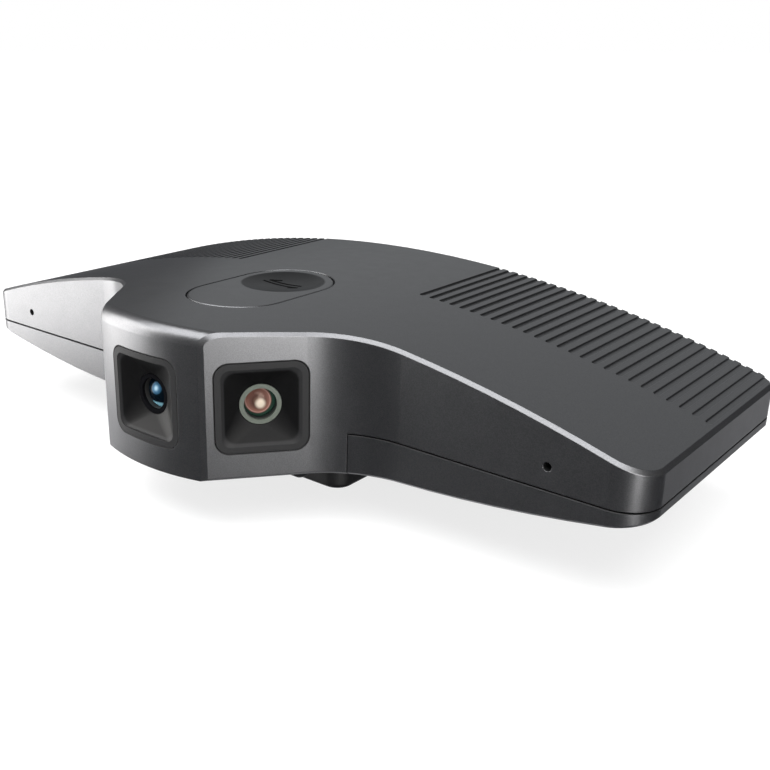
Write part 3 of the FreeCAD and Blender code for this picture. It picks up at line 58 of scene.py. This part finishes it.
# Housing shells: two moulded shells under one satin graphite lacquer with fine metal flakes.
# The top one is ribbed by wide, shallow slots; the lower one closes it below the seam and is
# screwed up from underneath. Round the lens windows and at the seam, painted shade darkens the edge.
class Signal:
    """What one socket of a finish gives. Arithmetic on it adds Math nodes beside it."""

    def __init__(self, tree, socket=None):
        self.tree = tree
        self.socket = socket

    def node(self, kind, settings, sockets, output=0):
        """Add a node: its type, its settings, then the values and links of its sockets."""
        made = self.tree.nodes.new(kind)
        for name, value in settings.items():
            if name == "stops":
                for spot, colour in value[1:-1]:
                    made.color_ramp.elements.new(spot)
                for element, (spot, colour) in zip(made.color_ramp.elements, value):
                    element.position = spot
                    element.color = (*colour, 1)
            else:
                setattr(made, name, value)
        for name, value in sockets.items():
            feed(made.inputs[name], value)
        return Signal(self.tree, made.outputs[output])

    def maths(self, operation, *values):
        """A Math node on this signal alone, or on the values given instead."""
        return self.node("ShaderNodeMath", {"operation": operation}, dict(enumerate(values or (self,))))

    def __add__(self, other):
        return self.maths("ADD", self, other)

    def __sub__(self, other):
        return self.maths("SUBTRACT", self, other)

    def __rsub__(self, other):
        return self.maths("SUBTRACT", other, self)

    def __mul__(self, other):
        return self.maths("MULTIPLY", self, other)

    def __truediv__(self, other):
        return self.maths("DIVIDE", self, other)

    def __rtruediv__(self, other):
        return self.maths("DIVIDE", other, self)

    __radd__ = __add__
    __rmul__ = __mul__

    def vectors(self, operation, other=None, output="Vector"):
        """A Vector Math node on this vector, and on another where the operation takes two."""
        sockets = {0: self} if other is None else {0: self, 1: other}
        return self.node("ShaderNodeVectorMath", {"operation": operation}, sockets, output)

    def part(self, letter):
        """This vector's X, Y or Z."""
        return self.node("ShaderNodeSeparateXYZ", {}, {0: self}, letter)

    def distance(self, spot):
        """How far this place lies from a spot."""
        return self.vectors("DISTANCE", spot, "Value")

    def band(self, low, high):
        """0 below a value, 1 above another, and a soft step between them."""
        return self.node("ShaderNodeMapRange", {"interpolation_type": "SMOOTHSTEP"},
                         {"Value": self, "From Min": low, "From Max": high})

    def tint(self, low, high):
        """A colour between two, by this signal from 0 to 1."""
        return self.node("ShaderNodeMix", {"data_type": "RGBA"}, {0: self, 6: low, 7: high}, 2)


def feed(socket, value):
    """Give a socket a link or a plain value."""
    if isinstance(value, Signal):
        socket.id_data.links.new(value.socket, socket)
    elif isinstance(value, tuple) and socket.type == "RGBA":
        socket.default_value = (*value, 1)
    else:
        socket.default_value = value


def new_finish(name):
    """A new material, the bare signal that its nodes are added from, and the place in metres."""
    material = bpy.data.materials.new(name)
    material.use_nodes = True
    start = Signal(material.node_tree)
    return material, start, start.node("ShaderNodeTexCoord", {}, {}, "Object")


def shade(start, sockets):
    """Fill the sockets of a finish's own shader."""
    for name, value in sockets.items():
        feed(start.tree.nodes["Principled BSDF"].inputs[name], value)


def grains(place, size, detail=2.0):
    """Noise from 0 to 1 whose grains are about a size in metres."""
    return place.node("ShaderNodeTexNoise", {}, {"Vector": place, "Scale": 1 / size, "Detail": detail})


def relief(height, strength, depth, surface=None):
    """Fine relief from a height signal, a depth in metres, on the plain or a softened surface."""
    sockets = {"Strength": strength, "Distance": depth, "Height": height}
    if surface:
        sockets["Normal"] = surface
    return height.node("ShaderNodeBump", {}, sockets)


def rounded(start, radius, samples=6):
    """A surface whose edges are softened to a radius in metres."""
    return start.node("ShaderNodeBevel", {"samples": samples}, {"Radius": radius})


def dress(material, *nodes):
    """Give carried-over nodes a finish."""
    for node in nodes:
        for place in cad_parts[node].material_slots:
            place.material = material


STATIONS = ("centre", "right", "left")
FACET_TURN = 51.2
STATION_TURN = {"centre": 0, "right": FACET_TURN, "left": -FACET_TURN}
HOOD_CORNER = 0.0034
WINDOW_DEPTH = 0.004
WINDOW_EDGE = (0.0003, 0.0004)
SEAM_FACING = (0.25, 0.45)
LACQUER_DARK = (0.087, 0.088, 0.092)
LACQUER_LIGHT = (0.111, 0.112, 0.117)
EDGE_SHADE_TONE = (0.006, 0.006, 0.007)
FLAKE_SIZE = 0.00022
FLOW_SIZE = 0.004
SHELL_EDGE = 0.0002
SEAM_EDGE = 0.00003
KEY_EDGE = 0.00045
KEY_MIDDLE = (0, -0.0121, 0.0513)
KEY_REACH = (0.021, 0.024)
DISH_MIDDLE = (0, -0.0039, 0.0504)
DISH_REACH = (0.0108, 0.0115)
DISH_SHADE_TONE = (0.008, 0.008, 0.009)


def lens_axis(station):
    """The way that a lens looks."""
    turn = math.radians(STATION_TURN[station])
    return Vector((math.sin(turn), -math.cos(turn), 0))


def past_window(place, station):
    """How far a place lies outside the round-edged block that fills a lens window."""
    low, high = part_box(f"lens_hood_{station}")
    axis = lens_axis(station)
    flat_half = (high.z - low.z) / 2 - HOOD_CORNER
    offset = place.vectors("SUBTRACT", tuple((low + high) / 2))
    ways = (((-axis.y, axis.x, 0), flat_half), ((0, 0, 1), flat_half), (tuple(axis), WINDOW_DEPTH))
    square = 0
    for way, half in ways:
        along = offset.vectors("DOT_PRODUCT", way, "Value")
        beyond = place.maths("MAXIMUM", along.maths("ABSOLUTE") - half, 0.0)
        square = beyond * beyond + square
    return square.maths("SQRT") - HOOD_CORNER


def round_windows(place):
    """1 on the edge round each lens window, where a dark line is painted as shade in the gap, and 0
    elsewhere.
    """
    nearest = past_window(place, "centre")
    for station in ("right", "left"):
        nearest = place.maths("MINIMUM", nearest, past_window(place, station))
    return 1 - nearest.band(*WINDOW_EDGE)


def on_seam(place):
    """1 on the lower shell's edge, which faces up into the seam and is painted dark as shade, and 0
    elsewhere.
    """
    facing = place.node("ShaderNodeNewGeometry", {}, {}, "True Normal")
    return facing.part("Z").band(*SEAM_FACING)


def lacquer(name, node, edge, key_edge=None, shaded_edge=None):
    """Satin lacquer with metal flakes, on edges that the sprayed film softens. Round the key's
    opening, and on the key, the edges are rounder. The key's finger dish is duller, and painted
    darker as shade in its hollow."""
    material, start, place = new_finish(name)
    flakes = grains(place, FLAKE_SIZE)
    flow = grains(place, FLOW_SIZE)
    surface = rounded(start, edge)
    film = flakes.band(0.3, 0.7).tint(LACQUER_DARK, LACQUER_LIGHT)
    dish_shade_and_dull = 0
    edge_shade = 0
    if key_edge:
        past_key = place.distance(KEY_MIDDLE).band(*KEY_REACH)
        surface = start.node("ShaderNodeMix", {"data_type": "VECTOR"},
                             {0: past_key, 4: rounded(start, key_edge), 5: surface}, 1)
        # The finger dish is painted darker, as shade in its hollow, and is duller.
        dish_shade_and_dull = 1 - place.distance(DISH_MIDDLE).band(*DISH_REACH)
        film = dish_shade_and_dull.tint(film, DISH_SHADE_TONE)
    # A dark line of painted shade lies along the gaps by the lens windows and at the seam.
    if shaded_edge:
        edge_shade = shaded_edge(place)
        film = edge_shade.tint(film, EDGE_SHADE_TONE)
    roughness = flow.band(0.2, 0.8) * 0.03 + 0.31 + dish_shade_and_dull * 0.06 + edge_shade * 0.3
    shade(start, {"Base Color": film, "Metallic": 0.9 - edge_shade * 0.5, "Roughness": roughness,
                  "Normal": relief(flakes * 0.8 + flow, 0.35, 0.00001, surface)})
    dress(material, node)


lacquer("satin_graphite_lacquer", "top_shell", SHELL_EDGE, KEY_EDGE, round_windows)
lacquer("satin_graphite_underside", "bottom_shell", SEAM_EDGE, shaded_edge=on_seam)

# Rocking key: a flush moulded plate in the shells' lacquer with a round finger dish. The dish
# carries a printed sign, two half arrows that point opposite ways.
# The key's finger dish is painted darker, as shade in its hollow.
lacquer("satin_key_lacquer", "mode_key", KEY_EDGE, KEY_EDGE)
SIGN_ARROWS = (((-6.8, -4.15), (5.3, -4.15), (2.75, -5.3)), ((4.9, -2.2), (-6.0, -2.5), (-3.2, -0.6)))
SIGN_STROKE = 0.72
SIGN_STEPS = 12
SIGN_THICK = 0.00003
ABOVE_KEY = 0.1
key_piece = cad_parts["mode_key"]


def on_dish(x, y):
    """The point of the finger dish at a plan position in millimetres."""
    above = Vector((x / 1000, y / 1000, ABOVE_KEY))
    return key_piece.ray_cast(above, Vector((0, 0, -1)))[1] + Vector((0, 0, SIGN_THICK / 3))


corners, strips = [], []
for points in SIGN_ARROWS:
    for (x0, y0), (x1, y1) in zip(points, points[1:]):
        run = Vector((x1 - x0, y1 - y0))
        side = Vector((-run.y, run.x)).normalized() * SIGN_STROKE / 2
        for step in range(SIGN_STEPS + 1):
            spot = Vector((x0, y0)) + run * step / SIGN_STEPS
            if step:
                last = len(corners)
                strips.append((last - 2, last, last + 1, last - 1))
            corners += [on_dish(*(spot - side)), on_dish(*(spot + side))]
sign = bpy.data.meshes.new("key_sign")
sign.from_pydata(corners, [], strips)
sign_piece = bpy.data.objects.new("key_sign", sign)
bpy.context.scene.collection.objects.link(sign_piece)
ink_film = sign_piece.modifiers.new("ink_film", "SOLIDIFY")
ink_film.thickness = SIGN_THICK
ink_film.offset = 1.0
sign_ink, start, place = new_finish("printed_sign_ink")
speck = grains(place, 0.0003)
shade(start, {"Base Color": speck.tint((0.001, 0.001, 0.001), (0.003, 0.003, 0.003)),
              "Roughness": speck * 0.1 + 0.7, "Specular IOR Level": 0.02})
sign.materials.append(sign_ink)
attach(sign_piece, "key")

# Lens hoods: square frames of fine-grained black plastic, pressed into the nose. Flat walls
# narrow from each rim to the round lens opening, and are painted blacker than the rim, as shade.
# The centre hood's rim curves with the nose, so it lies a little further behind its front.
HOOD_GRAIN = 0.00016
HOOD_EDGE = 0.00015
RIM_DEPTHS = {"centre": (0.0014, 0.0011), "right": (0.0006, 0.0003), "left": (0.0006, 0.0003)}
for station in STATIONS:
    hood_black, start, place = new_finish(f"grained_black_hood_{station}")
    hood_node = f"lens_hood_{station}"
    axis = lens_axis(station)
    front = max(corner.co.dot(axis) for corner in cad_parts[hood_node].data.vertices)
    deep, shallow = RIM_DEPTHS[station]
    grain = grains(place, HOOD_GRAIN, 3.0)
    on_rim = place.vectors("DOT_PRODUCT", tuple(axis), "Value").band(front - deep, front - shallow)
    # The walls are painted darker than the rim, as shade inside the funnel.
    shaded_wall_tone = grain.tint((0.0025, 0.0025, 0.0027), (0.005, 0.005, 0.0053))
    rim_tone = grain.tint((0.014, 0.014, 0.0145), (0.020, 0.020, 0.0207))
    shade(start, {"Base Color": on_rim.tint(shaded_wall_tone, rim_tone), "Roughness": grain * 0.08 + 0.42,
                  "Specular IOR Level": 0.08,
                  "Normal": relief(grain, 0.4, 0.00002, rounded(start, HOOD_EDGE, 4))})
    dress(hood_black, hood_node)

# Lens rings: turned aluminium rings that hold each front glass. The side ones are anodised
# pale grey-green and the centre one black, with fine turning marks.
RING_MARKS = 70000
RING_CLOUD = 0.0006


def turned_ring(name, station, dark, light, metallic, roughness):
    """Anodised metal with turning marks round one ring's own middle."""
    low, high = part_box(f"lens_ring_{station}")
    material, start, place = new_finish(name)
    marks = (place.distance(tuple((low + high) / 2)) * RING_MARKS).maths("SINE") * 0.5 + 0.5
    cloud = grains(place, RING_CLOUD)
    shade(start, {"Base Color": (marks * 0.3 + cloud * 0.7).tint(dark, light), "Metallic": metallic,
                  "Roughness": cloud * 0.1 + roughness, "Specular IOR Level": metallic,
                  "Normal": relief(marks, 0.2, 0.00001)})
    dress(material, f"lens_ring_{station}")


for station in ("right", "left"):
    turned_ring(f"pale_ring_{station}", station, (0.060, 0.070, 0.058), (0.085, 0.098, 0.081), 0.3, 0.45)
turned_ring("black_ring_centre", "centre", (0.003, 0.003, 0.0035), (0.006, 0.006, 0.007), 0.0, 0.5)

# Front glasses: domed, coated against reflections. On each a painted reflection of the inner lens
# shows as a disc that sits a little high: copper over green at the sides, blue over black at the
# centre. The disc's colours run outwards from its middle, with a painted highlight on it and a
# painted reflection at its foot, and the glass glows with these colours though it is no lamp.
DISC_SCALE = 0.0038
PAINTED_GLOW = 0.45
DISC_ASIDE = {"centre": 0.0006, "right": -0.0005, "left": 0.0005}
# Colours of the painted reflection, its painted highlight and its foot, for each kind of glass.
COPPER_GLASS = {
    "stops": [(0.0, (0.12, 0.075, 0.055)), (0.34, (0.040, 0.020, 0.016)), (0.52, (0.080, 0.038, 0.030)),
              (0.70, (0.135, 0.064, 0.050)), (0.77, (0.26, 0.150, 0.128)), (0.81, (0.085, 0.045, 0.036)),
              (0.88, (0.014, 0.030, 0.022)), (1.0, (0.014, 0.034, 0.024))],
    "rise": 0.0006, "painted_highlight": (0.36, 0.31, 0.25), "painted_highlight_band": (0.0006, 0.0016),
    "foot": (0.016, 0.040, 0.029), "foot_band": (-0.0036, -0.0030),
    "coating": (1.0, 0.80, 0.68), "gloss": 0.2}
BLUE_GLASS = {
    "stops": [(0.0, (0.16, 0.27, 0.35)), (0.13, (0.085, 0.17, 0.24)), (0.25, (0.024, 0.066, 0.115)),
              (0.36, (0.012, 0.040, 0.070)), (0.43, (0.001, 0.003, 0.005)), (1.0, (0.001, 0.002, 0.004))],
    "rise": 0.0014, "painted_highlight": (0.24, 0.34, 0.41), "painted_highlight_band": (0.0001, 0.0008),
    "foot": (0.13, 0.27, 0.33), "foot_band": (-0.0026, -0.0020),
    "coating": (0.35, 0.65, 1.0), "gloss": 0.05}


def off_axis(place, spot, axis):
    """How far a place lies from the line through a spot along an axis, in metres."""
    offset = place.vectors("SUBTRACT", tuple(spot))
    return offset.vectors("CROSS_PRODUCT", tuple(axis)).vectors("LENGTH", output="Value")


for station in STATIONS:
    tones = BLUE_GLASS if station == "centre" else COPPER_GLASS
    low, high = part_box(f"lens_dome_{station}")
    middle = (low + high) / 2
    axis = lens_axis(station)
    aside = Vector((-axis.y, axis.x, 0))
    disc_middle = middle + aside * DISC_ASIDE[station] + Vector((0, 0, tones["rise"]))
    painted_highlight_middle = disc_middle if station == "centre" else middle
    material, start, place = new_finish(f"coated_glass_{station}")
    disc = start.node("ShaderNodeValToRGB", {"stops": tones["stops"]},
                      {0: off_axis(place, disc_middle, axis) / DISC_SCALE})
    foot = 1 - (place.part("Z") - middle.z).band(*tones["foot_band"])
    painted_highlight = 1 - off_axis(place, painted_highlight_middle, axis).band(*tones["painted_highlight_band"])
    # The painted reflection and highlight also feed the emission, so the glass glows though it is no lamp.
    painted_reflection = painted_highlight.tint(foot.tint(disc, tones["foot"]), tones["painted_highlight"])
    shade(start, {"Base Color": painted_reflection, "Roughness": grains(place, 0.002) * 0.05 + 0.17,
                  "Specular Tint": tones["coating"], "Specular IOR Level": tones["gloss"],
                  "Emission Color": painted_reflection, "Emission Strength": PAINTED_GLOW})
    dress(material, f"lens_dome_{station}")

# Camera modules: behind each glass a threaded barrel in a moulded holder, both matt black,
# over an image sensor with a dark glossy cover. The holders are glued to the image boards.
CLOUD_PER_GRAIN = 14


def moulded(name, nodes, dark, light, grain_size, roughness, depth=0.00002, more=()):
    """Moulded plastic or rubber with a grain, cloudy in colour over a few millimetres."""
    material, start, place = new_finish(name)
    grain = grains(place, grain_size, 3.0)
    cloud = grains(place, grain_size * CLOUD_PER_GRAIN).band(0.35, 0.65)
    shade(start, {"Base Color": (grain * 0.7 + cloud * 0.3).tint(dark, light),
                  "Roughness": grain * 0.1 + roughness, "Normal": relief(grain, 0.5, depth), **dict(more)})
    dress(material, *nodes)


barrels = [f"{piece}_{station}" for piece in ("lens_barrel", "lens_holder") for station in STATIONS]
sensors = [f"image_sensor_{station}" for station in STATIONS]
moulded("matt_black_barrel", barrels, (0.008, 0.008, 0.008), (0.016, 0.016, 0.016), 0.0002, 0.55)
moulded("dark_sensor_cover", sensors, (0.014, 0.010, 0.026), (0.030, 0.018, 0.048), 0.0009, 0.06,
        0.000001, [("Coat Weight", 1.0)])

# Circuit boards: green solder mask over copper tracks, with tinned pads. Image boards are glued
# to the holders; the main board and the key's board are screwed down; the microphone boards
# stand behind their gaskets.
TRACK_CELLS = 320
TRACK_WAVES = 30
PAD_CELLS = 400
solder_mask, start, place = new_finish("green_solder_mask")
cells = start.node("ShaderNodeTexVoronoi", {"distance": "CHEBYCHEV"},
                   {"Vector": place, "Scale": TRACK_CELLS, "Randomness": 0.6}, "Distance")
tracks = 1 - (cells * TRACK_WAVES).maths("SINE").band(0.2, 0.6)
pads = start.node("ShaderNodeTexVoronoi", {},
                  {"Vector": place, "Scale": PAD_CELLS, "Randomness": 0.9}, "Distance")
tinned = 1 - pads.band(0.13, 0.16)
mask_green = tracks.tint((0.010, 0.075, 0.030), (0.022, 0.150, 0.060))
shade(start, {"Base Color": tinned.tint(mask_green, (0.62, 0.60, 0.56)), "Metallic": tinned * 0.9,
              "Roughness": tracks * 0.08 + 0.24, "Normal": relief(tracks + tinned, 0.5, 0.00003)})
dress(solder_mask, *[f"image_board_{station}" for station in STATIONS])
dress(solder_mask, "main_board", "key_board", "mic_board_right", "mic_board_left")

# Processor, memory and cooling: epoxy chip packages soldered to the main board, a soft thermal
# pad, and a finned aluminium heat sink pressed on it.
moulded("black_epoxy_chip", ["processor", "memory_chips"], (0.014, 0.014, 0.015), (0.028, 0.028, 0.030),
        0.00015, 0.45)
moulded("blue_grey_thermal_pad", ["thermal_pad"], (0.24, 0.29, 0.35), (0.33, 0.38, 0.44), 0.0003, 0.7,
        0.00004)
CLOUD_PER_LINE = 20


def drawn_metal(name, nodes, dark, light, run, size, roughness):
    """Metal with fine lines along the way it was drawn, rolled or ground."""
    material, start, place = new_finish(name)
    lines = grains(place.vectors("MULTIPLY", run), size, 3.0)
    cloud = grains(place, size * CLOUD_PER_LINE)
    shade(start, {"Base Color": (lines * 0.6 + cloud * 0.4).tint(dark, light), "Metallic": 1.0,
                  "Roughness": cloud * 0.12 + roughness, "Normal": relief(lines, 0.4, 0.00001)})
    dress(material, *nodes)


drawn_metal("extruded_aluminium", ["heat_sink"], (0.50, 0.50, 0.51), (0.70, 0.70, 0.72),
            (1, 0.05, 1), 0.0003, 0.32)

# Ribbons and their connectors: amber polyimide film with copper lines laminated in it, from
# each camera and microphone to ivory connectors on the main board.
moulded("ivory_connector", ["ribbon_connectors"], (0.50, 0.48, 0.40), (0.62, 0.60, 0.52), 0.0004, 0.5)
RIBBON_WAVES = 12566


def ribbon(name, nodes, across):
    """Film whose copper lines are 0.5 mm apart across the ribbon."""
    material, start, place = new_finish(name)
    lines = (place.part(across) * RIBBON_WAVES).maths("SINE").band(-0.1, 0.3)
    cloud = grains(place, 0.003)
    copper = lines.tint((0.30, 0.105, 0.018), (0.52, 0.22, 0.045))
    shade(start, {"Base Color": cloud.band(0.2, 0.8).tint(copper, (0.36, 0.14, 0.025)),
                  "Metallic": lines * 0.5, "Roughness": cloud * 0.1 + 0.22,
                  "Normal": relief(lines, 0.5, 0.00002)})
    dress(material, *nodes)


ribbon("amber_camera_ribbon", ["camera_ribbons"], "X")
ribbon("amber_microphone_ribbon", ["mic_ribbon_right", "mic_ribbon_left"], "Y")

# Camera bracket: one stamped and folded zinc-plated sheet that holds the three camera modules.
# The zinc shows its spangles, patches of crystal, under fine rolling lines.
SPANGLE_CELLS = 450
zinc, start, place = new_finish("zinc_plated_sheet")
spangle = start.node("ShaderNodeTexVoronoi", {}, {"Vector": place, "Scale": SPANGLE_CELLS}, "Color")
patch = start.node("ShaderNodeSeparateColor", {}, {0: spangle})
lines = grains(place, 0.00025, 3.0)
shade(start, {"Base Color": (patch * 0.5 + lines * 0.5).tint((0.36, 0.37, 0.39), (0.52, 0.52, 0.54)),
              "Metallic": 1.0, "Roughness": patch * 0.15 + 0.3, "Normal": relief(lines, 0.3, 0.00001)})
dress(zinc, "camera_bracket")

# Cable socket: a drawn nickel-plated shell soldered to the main board's rear edge. Inside it
# stands a black tongue with gilt contact strips.
TONGUE_HALF_WIDTH = (0.00335, 0.0034)
TONGUE_HALF_HEIGHT = (0.00038, 0.00042)
CONTACT_WAVES = 12566
nickel, start, place = new_finish("nickel_plated_socket")
low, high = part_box("usb_socket")
middle = (low + high) / 2
lines = grains(place, 0.0004, 3.0)
across = place.part("X").maths("ABSOLUTE")
rise = (place.part("Z") - middle.z).maths("ABSOLUTE")
tongue = (1 - across.band(*TONGUE_HALF_WIDTH)) * (1 - rise.band(*TONGUE_HALF_HEIGHT))
strips = (across * CONTACT_WAVES).maths("SINE").band(0.0, 0.4) * tongue
steel_tone = lines.tint((0.44, 0.43, 0.41), (0.60, 0.59, 0.57))
tongue_tone = tongue.tint(steel_tone, (0.010, 0.010, 0.011))
shade(start, {"Base Color": strips.tint(tongue_tone, (0.75, 0.52, 0.20)), "Metallic": 1 - tongue + strips,
              "Roughness": lines * 0.1 + 0.24, "Normal": relief(lines, 0.2, 0.00001)})
dress(nickel, "usb_socket")

# Key works and microphone gaskets: a black tactile switch with a natural plunger under the
# dish, and a soft foam rubber gasket that seals each microphone hole.
moulded("black_switch", ["key_switch"], (0.016, 0.016, 0.016), (0.030, 0.030, 0.030), 0.0002, 0.4)
moulded("natural_plunger", ["switch_plunger"], (0.42, 0.42, 0.39), (0.55, 0.55, 0.52), 0.0003, 0.45)
moulded("foam_gasket", ["mic_gasket_right", "mic_gasket_left"], (0.006, 0.006, 0.006),
        (0.022, 0.022, 0.022), 0.00035, 0.9, 0.00012)

# Screws and pins: blackened steel screws, and ground steel pins for the key and both hinges.
# The pins' grinding lines run round them.
screws = ["housing_screws", "key_board_screws", "bracket_screws", "board_screws", "tilt_bracket_screws"]
drawn_metal("blackened_screw_steel", screws, (0.030, 0.030, 0.032), (0.060, 0.060, 0.064), (1, 1, 1),
            0.0002, 0.34)
drawn_metal("ground_pin_steel", ["key_pin", "tilt_pin", "leg_pin"], (0.42, 0.42, 0.43), (0.58, 0.58, 0.60),
            (1, 0.04, 0.04), 0.00008, 0.24)

# Clip and hinge brackets: glass-filled charcoal plastic with a spark-eroded grain, on natural
# acetal washers. The brackets are screwed under the housing.
clip_pieces = ["tilt_bracket_right", "tilt_bracket_left", "clip_platform", "clip_leg"]
moulded("grained_charcoal_clip", clip_pieces, (0.011, 0.011, 0.012), (0.022, 0.022, 0.024), 0.0003, 0.48,
        0.00003, [("Specular IOR Level", 0.25)])
moulded("natural_acetal_washer", ["tilt_washers", "leg_washers"], (0.50, 0.50, 0.47), (0.62, 0.62, 0.59),
        0.0004, 0.38)

# Rubber pads: soft black rubber with fine anti-slip ribs across, glued into the platform, the
# leg and the foot. The ribs are 1.2 mm apart.
RIB_WAVES = 5236
grip, start, place = new_finish("ribbed_black_rubber")
dust = grains(place, 0.0005, 3.0)
ribs = (place.part("Y") * RIB_WAVES).maths("SINE") * 0.5 + 0.5
shade(start, {"Base Color": dust.tint((0.009, 0.009, 0.009), (0.022, 0.022, 0.022)),
              "Roughness": dust * 0.12 + 0.72, "Specular IOR Level": 0.3,
              "Normal": relief(ribs + dust * 0.2, 0.7, 0.00015)})
dress(grip, "platform_pad", "leg_pad", "foot_pad")

# Tripod insert: turned brass with a quarter-inch thread in its bore, moulded into the
# platform's underside.
BORE_REACH = (0.00256, 0.00262)
THREAD_PITCH = 0.00127
INSERT_MARKS = 60000
brass, start, place = new_finish("turned_insert_brass")
low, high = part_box("tripod_insert")
middle = (low + high) / 2
reach = place.vectors("MULTIPLY", (1, 1, 0)).distance((middle.x, middle.y, 0))
bore = 1 - reach.band(*BORE_REACH)
offset = place.vectors("SUBTRACT", tuple(middle))
turn = offset.maths("ARCTAN2", offset.part("Y"), offset.part("X"))
helix = offset.part("Z") * (2 * math.pi / THREAD_PITCH) + turn
thread = helix.maths("SINE") * bore
marks = (reach * INSERT_MARKS).maths("SINE") * 0.15
cloud = grains(place, 0.0008)
shade(start, {"Base Color": cloud.tint((0.52, 0.36, 0.13), (0.72, 0.53, 0.23)), "Metallic": 1.0,
              "Roughness": cloud * 0.12 + 0.26, "Normal": relief(thread + marks * 0.1, 0.8, 0.00025)})
dress(brass, "tripod_insert")

# Studio floor: pale, with the webcam's soft shadow on it. It stays out of mirror rays, because
# the lacquer shows a dark studio, and it turns white with distance.
FLOOR_RADIUS = 5
FLOOR_STEP = 10
FLOOR_DROP = 0.00002
FLOOR_WHITE = 1.11
FADE = (0.25, 1.2)


def ray_kinds(start):
    """1 for a ray from the camera, for a mirror ray, and for a ray through something clear."""
    return [start.node("ShaderNodeLightPath", {}, {}, kind)
            for kind in ("Is Camera Ray", "Is Glossy Ray", "Is Transmission Ray")]


floor_mesh = bpy.data.meshes.new("studio_floor")
turns = [math.radians(degrees) for degrees in range(0, 360, FLOOR_STEP)]
edge = [(FLOOR_RADIUS * math.cos(turn), FLOOR_RADIUS * math.sin(turn), 0) for turn in turns]
floor_mesh.from_pydata(edge, [], [list(range(len(edge)))])
floor = bpy.data.objects.new("studio_floor", floor_mesh)
floor.location.z = -FLOOR_DROP
floor.visible_glossy = False
floor.visible_shadow = False
bpy.context.scene.collection.objects.link(floor)
pale, start, place = new_finish("pale_floor")
far = place.vectors("LENGTH", output="Value").band(*FADE)
shade(start, {"Base Color": (0.86, 0.86, 0.86), "Roughness": 0.9})
camera_ray, glossy_ray, through_ray = ray_kinds(start)
seen = camera_ray + glossy_ray + through_ray
plain = Signal(start.tree, start.tree.nodes["Principled BSDF"].outputs[0])
white = start.node("ShaderNodeEmission", {}, {"Color": (1, 1, 1), "Strength": FLOOR_WHITE})
mixed = start.node("ShaderNodeMixShader", {}, {0: seen * (far * 0.3 + 0.7), 1: plain, 2: white})
feed(start.tree.nodes["Material Output"].inputs["Surface"], mixed)
floor_mesh.materials.append(pale)

# Studio air: white to the camera and an even grey light on the webcam. Mirror rays find it dark,
# darker towards the floor, and pale only low down behind the webcam, which lights its back.
LOW_AIR = (0.05, 0.30)
REAR_LEFT = (-0.75, 0.66, 0)
REAR_LEFT_SHARE = (0.20, 0.75)
GROUND_AIR = (-0.24, -0.12)
world = bpy.data.worlds.new("studio_air")
world.use_nodes = True
bpy.context.scene.world = world
start = Signal(world.node_tree)
way = start.node("ShaderNodeTexCoord", {}, {}, "Generated")
height = way.part("Z")
low = 1 - height.band(*LOW_AIR)
rear_left = way.vectors("DOT_PRODUCT", REAR_LEFT, "Value").band(*REAR_LEFT_SHARE)
pale_behind = (1 - height.band(*GROUND_AIR)) * rear_left
camera_ray, glossy_ray, through_ray = ray_kinds(start)
air = glossy_ray.tint((0.62, 0.62, 0.62), (0.10, 0.10, 0.10))
air = (glossy_ray * low).tint(air, (0.028, 0.031, 0.040))
air = (glossy_ray * pale_behind).tint(air, (1.3, 1.3, 1.33))
air = (camera_ray + through_ray).tint(air, (1, 1, 1))
feed(world.node_tree.nodes["Background"].inputs["Color"], air)

# Studio lamps: a soft one above the lenses, a dimmer one behind the roof, and a tall soft one at
# each side, which only the lacquer's mirror shows.
AIM = Vector((0, 0, 0.03))
WARM = (1.0, 0.985, 0.96)
COOL = (0.94, 0.98, 1.0)


def soft_lamp(name, turn, height, reach, wide, tall, glow, mirror_only, tone=(1, 1, 1), shape="RECTANGLE"):
    """A lamp whose face glows at a level. It stands at a turn left of -Y in degrees, a height
    and a reach in metres, and faces the webcam."""
    lamp = bpy.data.lights.new(name, "AREA")
    lamp.shape = shape
    lamp.color = tone
    lamp.size = wide
    lamp.size_y = tall
    lamp.energy = glow * math.pi * wide * tall
    holder = bpy.data.objects.new(name, lamp)
    turn = math.radians(turn)
    holder.location = Vector((-reach * math.sin(turn), -reach * math.cos(turn), height))
    holder.rotation_euler = (AIM - holder.location).to_track_quat("-Z", "Y").to_euler()
    holder.visible_camera = False
    holder.visible_diffuse = not mirror_only
    bpy.context.scene.collection.objects.link(holder)


soft_lamp("lamp_above", 4, 0.55, 0.21, 0.98, 0.52, 6.8, False)
soft_lamp("lamp_behind", 166, 0.36, 0.60, 1.00, 0.50, 0.34, False, COOL)
soft_lamp("lamp_left", 58.3, 0.12, 0.50, 0.36, 0.50, 9.6, True, WARM)
soft_lamp("lamp_right", -62, 0.12, 0.50, 0.30, 0.50, 8.2, True, WARM, "ELLIPSE")

bpy.context.scene.view_settings.view_transform = "Standard"
